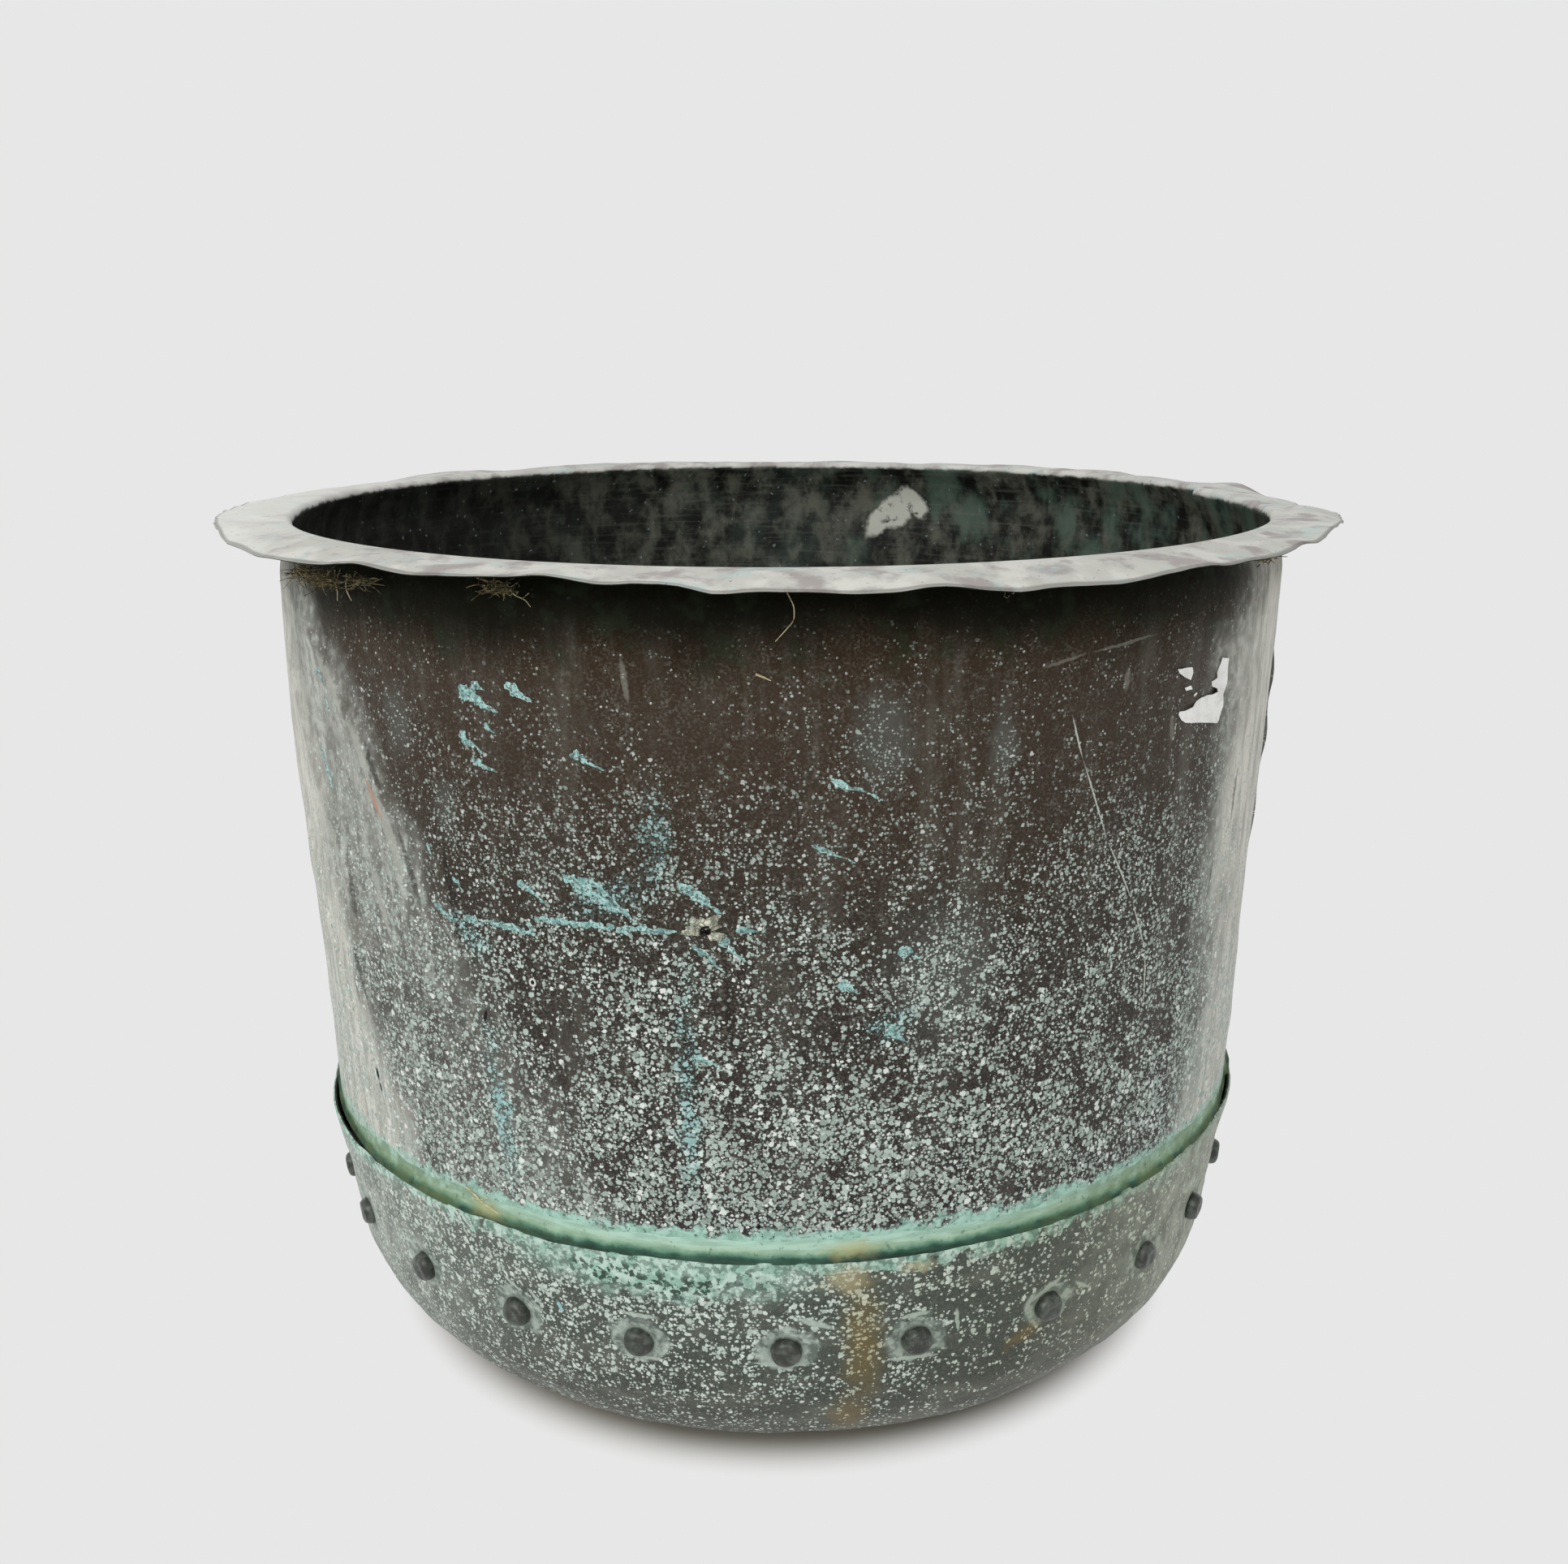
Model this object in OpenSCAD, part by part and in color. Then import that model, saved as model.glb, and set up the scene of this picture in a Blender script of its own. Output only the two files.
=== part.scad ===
// Riveted wash copper: a tapered drum of sheet copper, lapped and riveted down one side, with a
// flange beaten out at the rim. It stands in a dished bottom pan that is riveted round its foot.
// Millimetres, +Z up. The origin is on the axis, at the level that the pan stands on.
// Angles go round from the front (-Y) towards the right (+X).

/* [Rim] */
// Height of the crest of the rim above the floor
rim_h = 484; // [400:1:600]
// Width of the flange, from the crest outwards
flange_w = 34.6; // [20:0.5:60]
// How much of the hand-beaten waviness the flange has
rim_wave = 1; // [0:0.1:1.5]
// Bend radius of the crest, at the middle of the sheet
crest_r = 3; // [2:0.5:6]
// Height over which the drum draws in below the crest
neck_h = 26; // [15:1:40]
// How far the drum draws in there
neck_draw = 6.5; // [0:0.5:10]

/* [Drum] */
// Outside radius of the drum just below the neck
drum_r = 289.5; // [240:0.5:340]
// Taper of the drum towards its foot, in degrees a side
taper = 2.4; // [0.5:0.1:3.5]
// Thickness of the drum's sheet
sheet_t = 1.6; // [1.2:0.1:2.4]
// How far above the pan's knuckle the drum's foot stops
foot_clear = 4.5; // [3:0.5:8]
// How far above the drum's foot the row of rivets is
foot_below_row = 17; // [12:1:18]

/* [Lap of the drum's two ends] */
// Angle of the outer end's edge
lap_at = 81; // [60:1:120]
// Width of the overlap
lap_w = 62; // [40:1:90]
// Gap between the two layers
lap_gap = 0.3; // [0.2:0.05:0.6]
// Rivets down the lap
lap_rivet_count = 7; // [4:1:10]
// Diameter of a lap rivet's shank
lap_shank_d = 5; // [4:0.5:7]
// Diameter of a lap rivet's head
lap_head_d = 11; // [9:0.5:14]
// Height of a lap rivet's head
lap_head_h = 2.6; // [2:0.1:4]

/* [Bottom pan] */
// Thickness of the pan's sheet
pan_t = 2; // [1.5:0.1:3]
// Height of the pan's lip above the floor
lip_h = 143; // [135:1:155]
// Slope of the pan's skirt, in degrees from upright
skirt_slope = 7.8; // [6:0.1:9]
// Gap between the drum and the inside of the lip
lip_gap = 0.8; // [0.5:0.1:1.6]
// Radius of the knuckle, outside
knuckle_r = 75; // [60:1:90]
// Height of the knuckle's circle above the floor, at its lowest point
knuckle_lift = 5.2; // [3:0.2:8]
// Radius of the dished bottom, outside
crown_r = 208; // [150:1:400]
// How far the lip and the rivets rise towards the right, in degrees
row_lean = 0.56; // [0:0.02:0.8]

/* [Pan rivets] */
// Rivets round the pan
rivet_count = 24; // [16:1:32]
// Diameter of a rivet's shank
shank_d = 8; // [6:0.5:10]
// Diameter of a rivet's head
head_d = 15.5; // [13:0.5:20]
// Height of a rivet's head
head_h = 5.6; // [4:0.1:8]
// Diameter of the hammered end inside
tail_d = 12.5; // [11:0.5:16]
// Height of the hammered end
tail_h = 3.2; // [2:0.1:5]

/* [Fits] */
// Gap between the drum's foot and the pan's skirt
skirt_gap = 0.3; // [0.2:0.05:0.5]
// Clearance round a rivet's shank
hole_gap = 0.1; // [0.05:0.01:0.2]
// Clearance under heads, hammered ends, filler and paper
seat_gap = 0.05; // [0.03:0.01:0.2]

/* [Seam filler] */
// Height of the fillet that seals the lip
filler_h = 5.5; // [3:0.5:9]
// Gap between the fillet and the drum
filler_gap = 0.25; // [0.2:0.05:0.4]

/* [Patch and paper] */
// Diameter of the putty lump over the puncture
putty_d = 17; // [10:1:24]
// Height of the putty lump
putty_h = 2.8; // [1.5:0.1:5]
// Diameter of the puncture that the putty fills
puncture_d = 5; // [3:0.5:8]
// Thickness of the paper scrap
paper_t = 0.3; // [0.2:0.05:0.6]

/* [Hidden] */
$fn = 64;
CUT = 1;            // how far a cut runs past the face it opens
THROUGH = 20;       // length of a cutter that goes right through a sheet

// Sizes worked out from the ones above
neck_foot_h = rim_h - sheet_t / 2 - crest_r - neck_h;
skirt_foot_h = knuckle_lift + knuckle_r * (1 - sin(skirt_slope));
foot_h = skirt_foot_h + foot_clear;
row_h = foot_h + foot_below_row;
lap_span = lap_w / drum_r * 180 / PI;
lap_mid = lap_at + lap_span / 2;
lap_clear = 6;      // how far above the fillet the outer layer starts
lap_foot_h = lip_h + filler_h + lap_clear;
lap_top_h = neck_foot_h - 2;
slit_w = 0.3;       // degrees of gap at the end of the inner layer
web_w = 1;          // degrees of solid metal where the outer layer joins the drum
web_bite = 0.3;     // how far that metal reaches into both layers
lap_rivet_margin = 16;  // from the lap's two ends to its outermost rivets
filler_edge = 0.3;  // thickness of the fillet's thin upper edge
filler_waist = 0.55;    // share of the fillet's height at which it turns thin

function drum_out(h) = drum_r - (neck_foot_h - h) * tan(taper);
function across(t, slope) = t / cos(slope);
function pan_in(h) = drum_out(lip_h) + lip_gap - (lip_h - h) * tan(skirt_slope);
function pan_out(h) = pan_in(h) + across(pan_t, skirt_slope);
// Height at which the drum's wall turns to follow the skirt
turn_h = lip_h - (lip_gap - across(skirt_gap, skirt_slope)) / (tan(skirt_slope) - tan(taper));
function foot_out(h) = pan_in(h) - across(skirt_gap, skirt_slope);

// Degrees by which each pan rivet was marked off its even place, front one first, then rightwards
MARKING = [0.5, -0.7, 0.4, 1.5, 0.3, 0.1, -0.6, 0.8, 0.2, -1, 0.5, 0,
    -0.4, 0.9, -0.8, 0.3, 0.6, -0.2, -0.5, 0.5, -1.4, -0.7, -0.3, -0.2];
function rivet_angle(i) = i * 360 / rivet_count + MARKING[i % len(MARKING)];
function row_rise(a) = tan(row_lean) * pan_out(row_h) * sin(a);
function lap_rivet_h(i) =
    let (low = lap_foot_h + lap_rivet_margin, high = lap_top_h - lap_rivet_margin)
    low + (high - low) * i / (lap_rivet_count - 1);

// The flange's edge against the crest: [angle, height], where the hammer left highs and lows
RIM_EDGE = [[-180, -3.5], [-168, -1.5], [-152, 0], [-135, -1.5], [-128, 1], [-116, -3.2],
    [-104, -3], [-88, -0.5], [-72, 1.5], [-62, -2], [-50, -4.2], [-37, -0.8], [-30, -2], [-19, 1.5],
    [-12, -2], [-8, -0.2], [-4, -4.8], [10, -4.6], [13, -3.2], [19, -7], [28, -4.8], [38, -2],
    [48, -2.6], [56, -1.6], [68, 1.8], [84, -2.5], [98, -4.8], [108, -0.4], [120, -4.2], [131, -1.5],
    [148, -2.4], [166, -3.6], [180, -3.5]];
rim_steps = 90;     // facets round the flange

// Where things are on the drum: [angle, height], and then their sizes
PUTTY_AT = [-6.8, 318.5];
PINHOLE = [-24.8, 282, 2.4];    // and its diameter
SLIT = [-30.6, 260, 2.6, 7];    // and its width and length
PAPER_AT = [46, rim_h - 76];
PAPER_OUTLINE = [[-22, -16.5], [21, -17], [22.5, 0], [23.5, 16.5], [19.5, 15], [13, 4],
    [9, -3], [1, -4], [-8, -9], [-19, -9.5]];
PAPER_BAND = [16, 38];          // degrees and height of the band that the paper is cut from

function two(n) = n < 10 ? str("0", n) : str(n);

// Places a child that points along +Z square on a wall that leans outwards by slope
module on_wall(angle, radius, height, slope) {
    rotate([0, 0, angle])
        translate([0, -radius, height])
            rotate([90 + slope, 0, 0])
                children();
}

module on_skirt(i) {
    a = rivet_angle(i);
    h = row_h + row_rise(a);
    on_wall(a, pan_out(h), h, skirt_slope) children();
}

module on_lap(i) {
    h = lap_rivet_h(i);
    on_wall(lap_mid, drum_out(h) + lap_gap + sheet_t, h, taper) children();
}

module band(points, from_angle, span) {
    rotate([0, 0, from_angle - 90])
        rotate_extrude(angle = span, $fn = 180)
            polygon(points);
}

// ---- the drum ----

function wall_points(inset, t, low, high) = [
    [drum_out(low) + inset, low], [drum_out(high) + inset, high],
    [drum_out(high) + inset - across(t, taper), high],
    [drum_out(low) + inset - across(t, taper), low]];

drum_points = [
    [foot_out(foot_h), foot_h], [foot_out(turn_h), turn_h], [drum_out(neck_foot_h), neck_foot_h],
    [drum_out(neck_foot_h) - across(sheet_t, taper), neck_foot_h],
    [foot_out(turn_h) - across(sheet_t, taper), turn_h],
    [foot_out(foot_h) - across(sheet_t, skirt_slope), foot_h]];

// The neck and the flange at one angle: a section of the sheet, outer side first
root_inset = 0.25;  // how far the neck's root stands back from both faces of the wall
root_half = sheet_t / 2 - root_inset;
root_step = 0.5;    // height of the step at the root
root_in = 2;        // how far the root goes down into the wall
function edge_height(a) = rim_wave * lookup(a, RIM_EDGE);
crest_turn = 90 + atan(2 * neck_draw / neck_h);
neck_mid_r = drum_r - sheet_t / 2 / cos(taper);
crest_c = [neck_mid_r - neck_draw + crest_r * sin(crest_turn), neck_foot_h + neck_h];
flange_r = crest_c[0] + flange_w;
neck_line = [for (t = [0, 0.3, 0.6, 0.85]) [neck_mid_r - neck_draw * t * t, neck_foot_h + neck_h * t]];
crest_line = [for (k = [0:3]) let (b = 90 + crest_turn * (1 - k / 3))
    [crest_c[0] + crest_r * cos(b), crest_c[1] + crest_r * sin(b)]];
function flange_line(a) = [for (s = [0.45, 1])
    [crest_c[0] + flange_w * s, crest_c[1] + crest_r + edge_height(a) * s * s]];
function mid_line(a) = concat(neck_line, crest_line, flange_line(a));
function normal_at(line, k) = let (
    p = line[max(k - 1, 0)], q = line[min(k + 1, len(line) - 1)], d = (q - p) / norm(q - p))
    [d[1], -d[0]];
function section(a) = let (line = mid_line(a), n = len(line))
    concat([for (down = [root_in, root_step]) [neck_mid_r + root_half, neck_foot_h - down]],
        [for (k = [1:n - 1]) line[k] + normal_at(line, k) * sheet_t / 2],
        [for (k = [n - 1:-1:1]) line[k] - normal_at(line, k) * sheet_t / 2],
        [for (down = [root_step, root_in]) [neck_mid_r - root_half, neck_foot_h - down]]);
section_count = 2 * (len(neck_line) + len(crest_line) + 2 - 1) + 4;

module rim() {
    points = [for (j = [0:rim_steps - 1]) let (a = j * 360 / rim_steps)
        for (p = section(a > 180 ? a - 360 : a)) [p[0] * sin(a), -p[0] * cos(a), p[1]]];
    faces = [for (j = [0:rim_steps - 1]) for (k = [0:section_count - 1]) let (
        k2 = (k + 1) % section_count, j2 = (j + 1) % rim_steps,
        p = j * section_count + k, q = j * section_count + k2,
        r = j2 * section_count + k2, s = j2 * section_count + k)
        each [[p, q, r], [p, r, s]]];
    polyhedron(points, faces);
}

module side_sheet() {
    color("#4a403a")
    difference() {
        union() {
            rotate_extrude($fn = 180) polygon(drum_points);
            rim();
            band(wall_points(lap_gap + across(sheet_t, taper), sheet_t, lap_foot_h, lap_top_h),
                lap_at, lap_span + slit_w + web_w);
            band(wall_points(lap_gap + web_bite, lap_gap + 2 * web_bite, lap_foot_h, lap_top_h),
                lap_at + lap_span + slit_w, web_w);
        }
        band([[drum_out(foot_h) - 2 * THROUGH, foot_h - CUT], [drum_out(foot_h) + lap_gap / 2, foot_h - CUT],
            [drum_out(lap_top_h) + lap_gap / 2, lap_top_h], [drum_out(lap_top_h) - 2 * THROUGH, lap_top_h]],
            lap_at + lap_span - slit_w, slit_w);
        for (i = [0:rivet_count - 1]) on_skirt(i) hole(shank_d);
        for (i = [0:lap_rivet_count - 1]) on_lap(i) hole(lap_shank_d);
        on_wall(PUTTY_AT[0], drum_out(PUTTY_AT[1]), PUTTY_AT[1], taper) hole(puncture_d);
        on_wall(PINHOLE[0], drum_out(PINHOLE[1]), PINHOLE[1], taper) hole(PINHOLE[2]);
        on_wall(SLIT[0], drum_out(SLIT[1]), SLIT[1], taper) {
            for (s = [-1, 1]) translate([0, s * (SLIT[3] - SLIT[2]) / 2, 0]) hole(SLIT[2]);
            cube([SLIT[2], SLIT[3] - SLIT[2], THROUGH], center = true);
        }
    }
}

module hole(d) {
    cylinder(h = THROUGH, d = d + 2 * hole_gap, center = true);
}

// ---- the bottom pan ----

knuckle_c = [pan_out(skirt_foot_h) - knuckle_r * cos(skirt_slope),
    skirt_foot_h + knuckle_r * sin(skirt_slope)];
flat_r = knuckle_c[0] - sqrt(pow(crown_r - knuckle_r, 2) - pow(crown_r - knuckle_c[1], 2));
knuckle_end = atan2(knuckle_c[1] - crown_r, knuckle_c[0] - flat_r);
function arc(c, r, from, to, steps) = [for (k = [0:steps])
    let (b = from + (to - from) * k / steps) c + r * [cos(b), sin(b)]];

// The pan's outer side when inset is 0, and its inner side when inset is pan_t
function pan_side(inset) = concat(
    [[pan_out(rim_h) - across(inset, skirt_slope), rim_h]],
    arc(knuckle_c, knuckle_r - inset, -skirt_slope, knuckle_end, 10),
    arc([flat_r, crown_r], crown_r - inset, knuckle_end, -90, 4),
    [[0, inset]]);

module pan_blank() {
    difference() {
        rotate_extrude($fn = 180)
            polygon(concat(pan_side(0), [[0, rim_h]]));
        rotate_extrude($fn = 180)
            polygon(concat(pan_side(pan_t), [[0, rim_h + CUT], [pan_out(rim_h), rim_h + CUT]]));
    }
}

// Tips a child about the point where the axis passes the lip, as the lip and the rivets lean
module leaning() {
    translate([0, 0, lip_h])
        rotate([0, -row_lean, 0])
            children();
}

module bottom_pan() {
    color("#5d665d")
    difference() {
        pan_blank();
        leaning()
            translate([0, 0, rim_h])
                cube([4 * drum_r, 4 * drum_r, 2 * rim_h], center = true);
        for (i = [0:rivet_count - 1]) on_skirt(i) hole(shank_d);
    }
}

// ---- what seals and patches ----

module seam_filler() {
    inner = drum_out(lip_h) + filler_gap;
    draft = filler_h * tan(taper);
    color("#7fa08a")
    leaning()
        rotate_extrude($fn = 180)
            polygon([
                [inner, seat_gap],
                [pan_out(lip_h) - filler_gap, seat_gap],
                [inner + draft * filler_waist + filler_edge * 3, seat_gap + filler_h * filler_waist],
                [inner + draft + filler_edge, seat_gap + filler_h],
                [inner + draft, seat_gap + filler_h]]);
}

module putty_patch() {
    color("#b9b397")
    on_wall(PUTTY_AT[0], drum_out(PUTTY_AT[1]), PUTTY_AT[1], taper)
        rotate_extrude()
            polygon(concat(
                [[0, -sheet_t], [puncture_d / 2, -sheet_t], [puncture_d / 2, seat_gap],
                    [putty_d / 2, seat_gap]],
                [for (b = [15:15:90]) [putty_d / 2 * cos(b), seat_gap + putty_h * sin(b)]]));
}

module paper_scrap() {
    low = PAPER_AT[1] - PAPER_BAND[1] / 2;
    high = PAPER_AT[1] + PAPER_BAND[1] / 2;
    color("#f2f2ee")
    intersection() {
        band(wall_points(seat_gap + paper_t, paper_t, low, high),
            PAPER_AT[0] - PAPER_BAND[0] / 2, PAPER_BAND[0]);
        on_wall(PAPER_AT[0], drum_out(PAPER_AT[1]), PAPER_AT[1], taper)
            linear_extrude(2 * THROUGH, center = true) polygon(PAPER_OUTLINE);
    }
}

// ---- rivets ----

// A rivet set with its head outwards: the seat of the head is at height 0. The hammered end
// clears the hollow of the wall by as much as that rises across the end's width.
HEAD_ROUND = 0.42;  // a head's round edge, as a share of its height
HEAD_CROWN = 0.17;  // how much its middle stands above that edge, as a share of its height
TAIL_SHAPE = [[0, 1], [0.6, 0.92], [0.92, 0.5], [1, 0]];   // shares of the end's radius and height

module rivet(shank, head, rise, tail, tail_rise, grip, wall_r) {
    inner = -grip - seat_gap - tail * tail / 8 / wall_r;
    edge = min(rise, head / 2) * HEAD_ROUND;
    shoulder = seat_gap + rise * (1 - HEAD_CROWN) - edge;
    rotate_extrude($fn = 48)
        polygon(concat(
            [for (t = TAIL_SHAPE) [t[0] * tail / 2, inner - t[1] * tail_rise]],
            [[shank / 2, inner], [shank / 2, seat_gap], [head / 2, seat_gap]],
            [for (b = [0:30:90]) [head / 2 - edge + edge * cos(b), shoulder + edge * sin(b)]],
            [[0, seat_gap + rise]]));
}

module pan_rivet(i) {
    color("#3f4b45")
    on_skirt(i)
        rivet(shank_d, head_d, head_h, tail_d, tail_h, pan_t + skirt_gap + sheet_t,
            foot_out(row_h) - sheet_t);
}

module lap_rivet(i) {
    color("#4b4f48")
    on_lap(i)
        rivet(lap_shank_d, lap_head_d, lap_head_h, lap_head_d - 1, lap_head_h * 0.7,
            2 * sheet_t + lap_gap, drum_out(lap_foot_h) - sheet_t);
}

side_sheet();
bottom_pan();
seam_filler();
putty_patch();
paper_scrap();
for (i = [1:rivet_count])
    pan_rivet(i - 1);
for (i = [1:lap_rivet_count])
    lap_rivet(i - 1);
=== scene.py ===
import functools
import math

import bpy
import numpy as np
from mathutils import Matrix, Vector
from mathutils.geometry import delaunay_2d_cdt


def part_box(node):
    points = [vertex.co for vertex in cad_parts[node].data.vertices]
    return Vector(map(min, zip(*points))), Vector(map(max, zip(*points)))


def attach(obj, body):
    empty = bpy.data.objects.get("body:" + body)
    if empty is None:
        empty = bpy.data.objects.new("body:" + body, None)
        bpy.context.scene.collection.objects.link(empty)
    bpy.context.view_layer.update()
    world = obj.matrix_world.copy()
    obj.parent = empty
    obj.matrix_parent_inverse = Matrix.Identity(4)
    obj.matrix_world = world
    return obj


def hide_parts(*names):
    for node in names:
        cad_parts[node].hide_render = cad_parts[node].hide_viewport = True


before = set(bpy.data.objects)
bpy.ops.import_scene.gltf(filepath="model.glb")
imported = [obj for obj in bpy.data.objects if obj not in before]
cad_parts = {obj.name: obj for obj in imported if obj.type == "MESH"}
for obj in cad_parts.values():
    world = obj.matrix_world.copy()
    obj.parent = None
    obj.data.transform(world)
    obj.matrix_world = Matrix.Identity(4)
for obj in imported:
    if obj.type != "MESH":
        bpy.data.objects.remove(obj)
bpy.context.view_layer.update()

metre = 0.001  # lengths are in millimetres until a mesh is made
print("frame:", len(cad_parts), "nodes")


# Angles are degrees round the axis, from the front (-Y) towards the right (+X).
def place(angle, radius, height):
    turn = np.radians(angle)
    return np.stack([radius * np.sin(turn), -radius * np.cos(turn), height + 0 * turn], -1)


# 0 below low and 1 above high, smoothly
def ease(low, high, x):
    t = np.clip((np.asarray(x, float) - low) / (high - low), 0, 1)
    return t * t * (3 - 2 * t)


def bell(x, centre, width):
    return np.exp(-((x - centre) / width) ** 2)


# The same angle, from -180 to 180
def signed(angle):
    return (np.asarray(angle, float) + 180) % 360 - 180


# A smooth random field, about -1 to 1: sines that run in random directions, about size apart
def waves(points, size, seed, count=24):
    pick = np.random.default_rng(seed)
    way = pick.normal(size=(count, 3))
    way /= np.linalg.norm(way, axis=1)[:, None]
    way *= 2 * math.pi / (size * pick.uniform(0.7, 1.6, count))[:, None]
    field = np.sin(points @ way.T + pick.uniform(0, 2 * math.pi, count))
    return field.sum(-1) / math.sqrt(count / 2)


def unit(v):
    return v / np.linalg.norm(v, axis=-1, keepdims=True)


# An sRGB hex colour turned linear
def linear(code):
    steps = [int(code[i:i + 2], 16) / 255 for i in (1, 3, 5)]
    return [c / 12.92 if c <= 0.04045 else ((c + 0.055) / 1.055) ** 2.4 for c in steps] + [1]


# Adds a node. Values go to its sockets in order or by name, and other names are its settings.
def addNode(tree, kind, *inputs, **named):
    node = tree.nodes.new("ShaderNode" + kind)
    common = bpy.types.Node.bl_rna.properties
    settings = [n for n in named if n in node.bl_rna.properties and n not in common]
    for name in settings:
        setattr(node, name, named[name])
    live = [s for s in node.inputs if s.enabled]
    byName = {}
    for socket in live:
        byName.setdefault(socket.name.replace(" ", "").lower(), socket)
    pairs = list(zip(live, inputs))
    pairs += [(byName[n.lower()], v) for n, v in named.items() if n not in settings]
    for socket, value in pairs:
        if value is None:
            continue
        if isinstance(value, bpy.types.Node):
            value = next(s for s in value.outputs if s.enabled)
        if isinstance(value, bpy.types.NodeSocket):
            tree.links.new(value, socket)
        else:
            socket.default_value = value
    return node


def newMaterial(name):
    material = bpy.data.materials.new(name)
    material.use_nodes = True
    material.node_tree.nodes.clear()
    return material, functools.partial(addNode, material.node_tree)


def finish(add, colour, roughness, height=None, depth=1.0, **fixed):
    bump = None
    if height is not None:
        bump = add("Bump", height=height, distance=depth * metre, strength=1.0)
    shader = add("BsdfPrincipled", baseColor=colour, roughness=roughness, normal=bump, **fixed)
    add("OutputMaterial", shader)
    return shader


# Where the surface is: in millimetres, round the wall, and unrolled flat
def whereOn(add):
    point = add("VectorMath", add("TexCoord").outputs["Object"], scale=1000.0, operation="SCALE")
    axes = add("SeparateXYZ", point)
    x, y, height = axes.outputs
    back = add("Math", y, -1.0, operation="MULTIPLY")
    turn = add("Math", x, back, operation="ARCTAN2")
    arc = add("Math", turn, wallArc, operation="MULTIPLY")
    flat = add("VectorMath", add("CombineXYZ", x, y, 0.0), operation="LENGTH")
    return {"point": point, "x": x, "height": height, "arc": arc,
            "radius": flat.outputs["Value"], "sheet": add("CombineXYZ", arc, height, 0.0)}


# Shifts places about by noise. Its colour is taken apart and joined again as a vector, because
# Cycles puts a conversion of its own last, which fills its memory for a tree of this size.
def warped(add, vector, size, reach, detail):
    noise = add("TexNoise", vector, scale=1.0 / size, detail=detail)
    parts = add("SeparateColor", noise.outputs["Color"])
    push = add("VectorMath", add("CombineXYZ", *parts.outputs), (0.5, 0.5, 0.5), operation="SUBTRACT")
    return add("VectorMath", push, (reach, reach, reach), vector, operation="MULTIPLY_ADD")


# Separate grains about cell millimetres apart, and what each one drew by lot. Cover is the widest
# one's radius in cells, and density the share of places that hold one.
def grains(add, point, cell, cover, density):
    cells = add("TexVoronoi", warped(add, point, cell / 1.8, cell * 0.6, 1.0), scale=1.0 / cell)
    lot = add("SeparateColor", cells.outputs["Color"])
    share = add("MapRange", lot.outputs[0], 0.0, 1.0, cover * 0.5, cover)
    over = add("Math", cells.outputs["Distance"], share, operation="SUBTRACT")
    disc = add("MapRange", over, -0.06, 0.05, 1.0, 0.0, interpolation_type="SMOOTHSTEP")
    spare = add("Math", density, lot.outputs[2], operation="SUBTRACT")
    present = add("MapRange", spare, 0.0, 0.06, 0.0, 1.0)
    return add("Math", disc, present, operation="MULTIPLY"), lot


# A long mark from one place to another: angle, height, angle, height, half width
def stroke(angle, height, toAngle, toHeight, halfWidth):
    across = math.radians(toAngle - angle) * wallArc
    up = toHeight - height
    return [(angle + toAngle) / 2, (height + toHeight) / 2, halfWidth, math.hypot(across, up) / 2,
            math.degrees(math.atan2(-across, up))]


# The nearest mark's distance: 0 at its centre and 1 at its edge.
# A mark is angle, height, half its width and height in millimetres, and its lean in degrees.
def nearestMark(add, sheet, marks, ragged=0.0, grain=3.0):
    if ragged:
        sheet = warped(add, sheet, grain, ragged, 3.0)
    nearest = None
    for angle, height, halfWidth, halfHeight, lean in marks:
        seen = add("Mapping", sheet, (math.radians(angle) * wallArc, height, 0.0),
                   (0.0, 0.0, math.radians(lean)), (halfWidth, halfHeight, 1000.0),
                   vector_type="TEXTURE")
        far = add("VectorMath", seen, operation="LENGTH").outputs["Value"]
        nearest = far if nearest is None else add("Math", nearest, far, operation="MINIMUM")
    return nearest


def times(add, *values):
    product = values[0]
    for value in values[1:]:
        product = add("Math", product, value, operation="MULTIPLY")
    return product


# Lays a colour over another, as thickly as the product of its factors. Colours are hex or nodes.
def over(add, under, colour, *factors, blend="MIX"):
    share = times(add, *factors)
    first, second = [linear(c) if isinstance(c, str) else c for c in (under, colour)]
    return add("Mix", share, first, second, data_type="RGBA", blend_type=blend)


drum = {
    "radius": 289.5,       # outside, just below the neck
    "taper": 2.4,          # degrees a side
    "sheet": 1.6,
    "foot": 74.5,
    "turn": 137.8,         # where the wall starts to follow the pan's skirt
    "footSlope": 7.8,
    "neckFoot": 454.2,
    "neckHeight": 24.7,
    "neckDraw": 6.5,
    "crestBend": 3,
    "flange": 34.0,
    "lapAt": 81,           # the outer end's edge
    "lapSpan": 12.27,      # degrees
    # up to this far from the front, columns of points stand this many degrees apart
    "columnSteps": [[58, 0.5], [100, 0.34], [181, 0.9]],
}
wallArc = 287.0            # the radius at which the wall is unrolled for its marks

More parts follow.
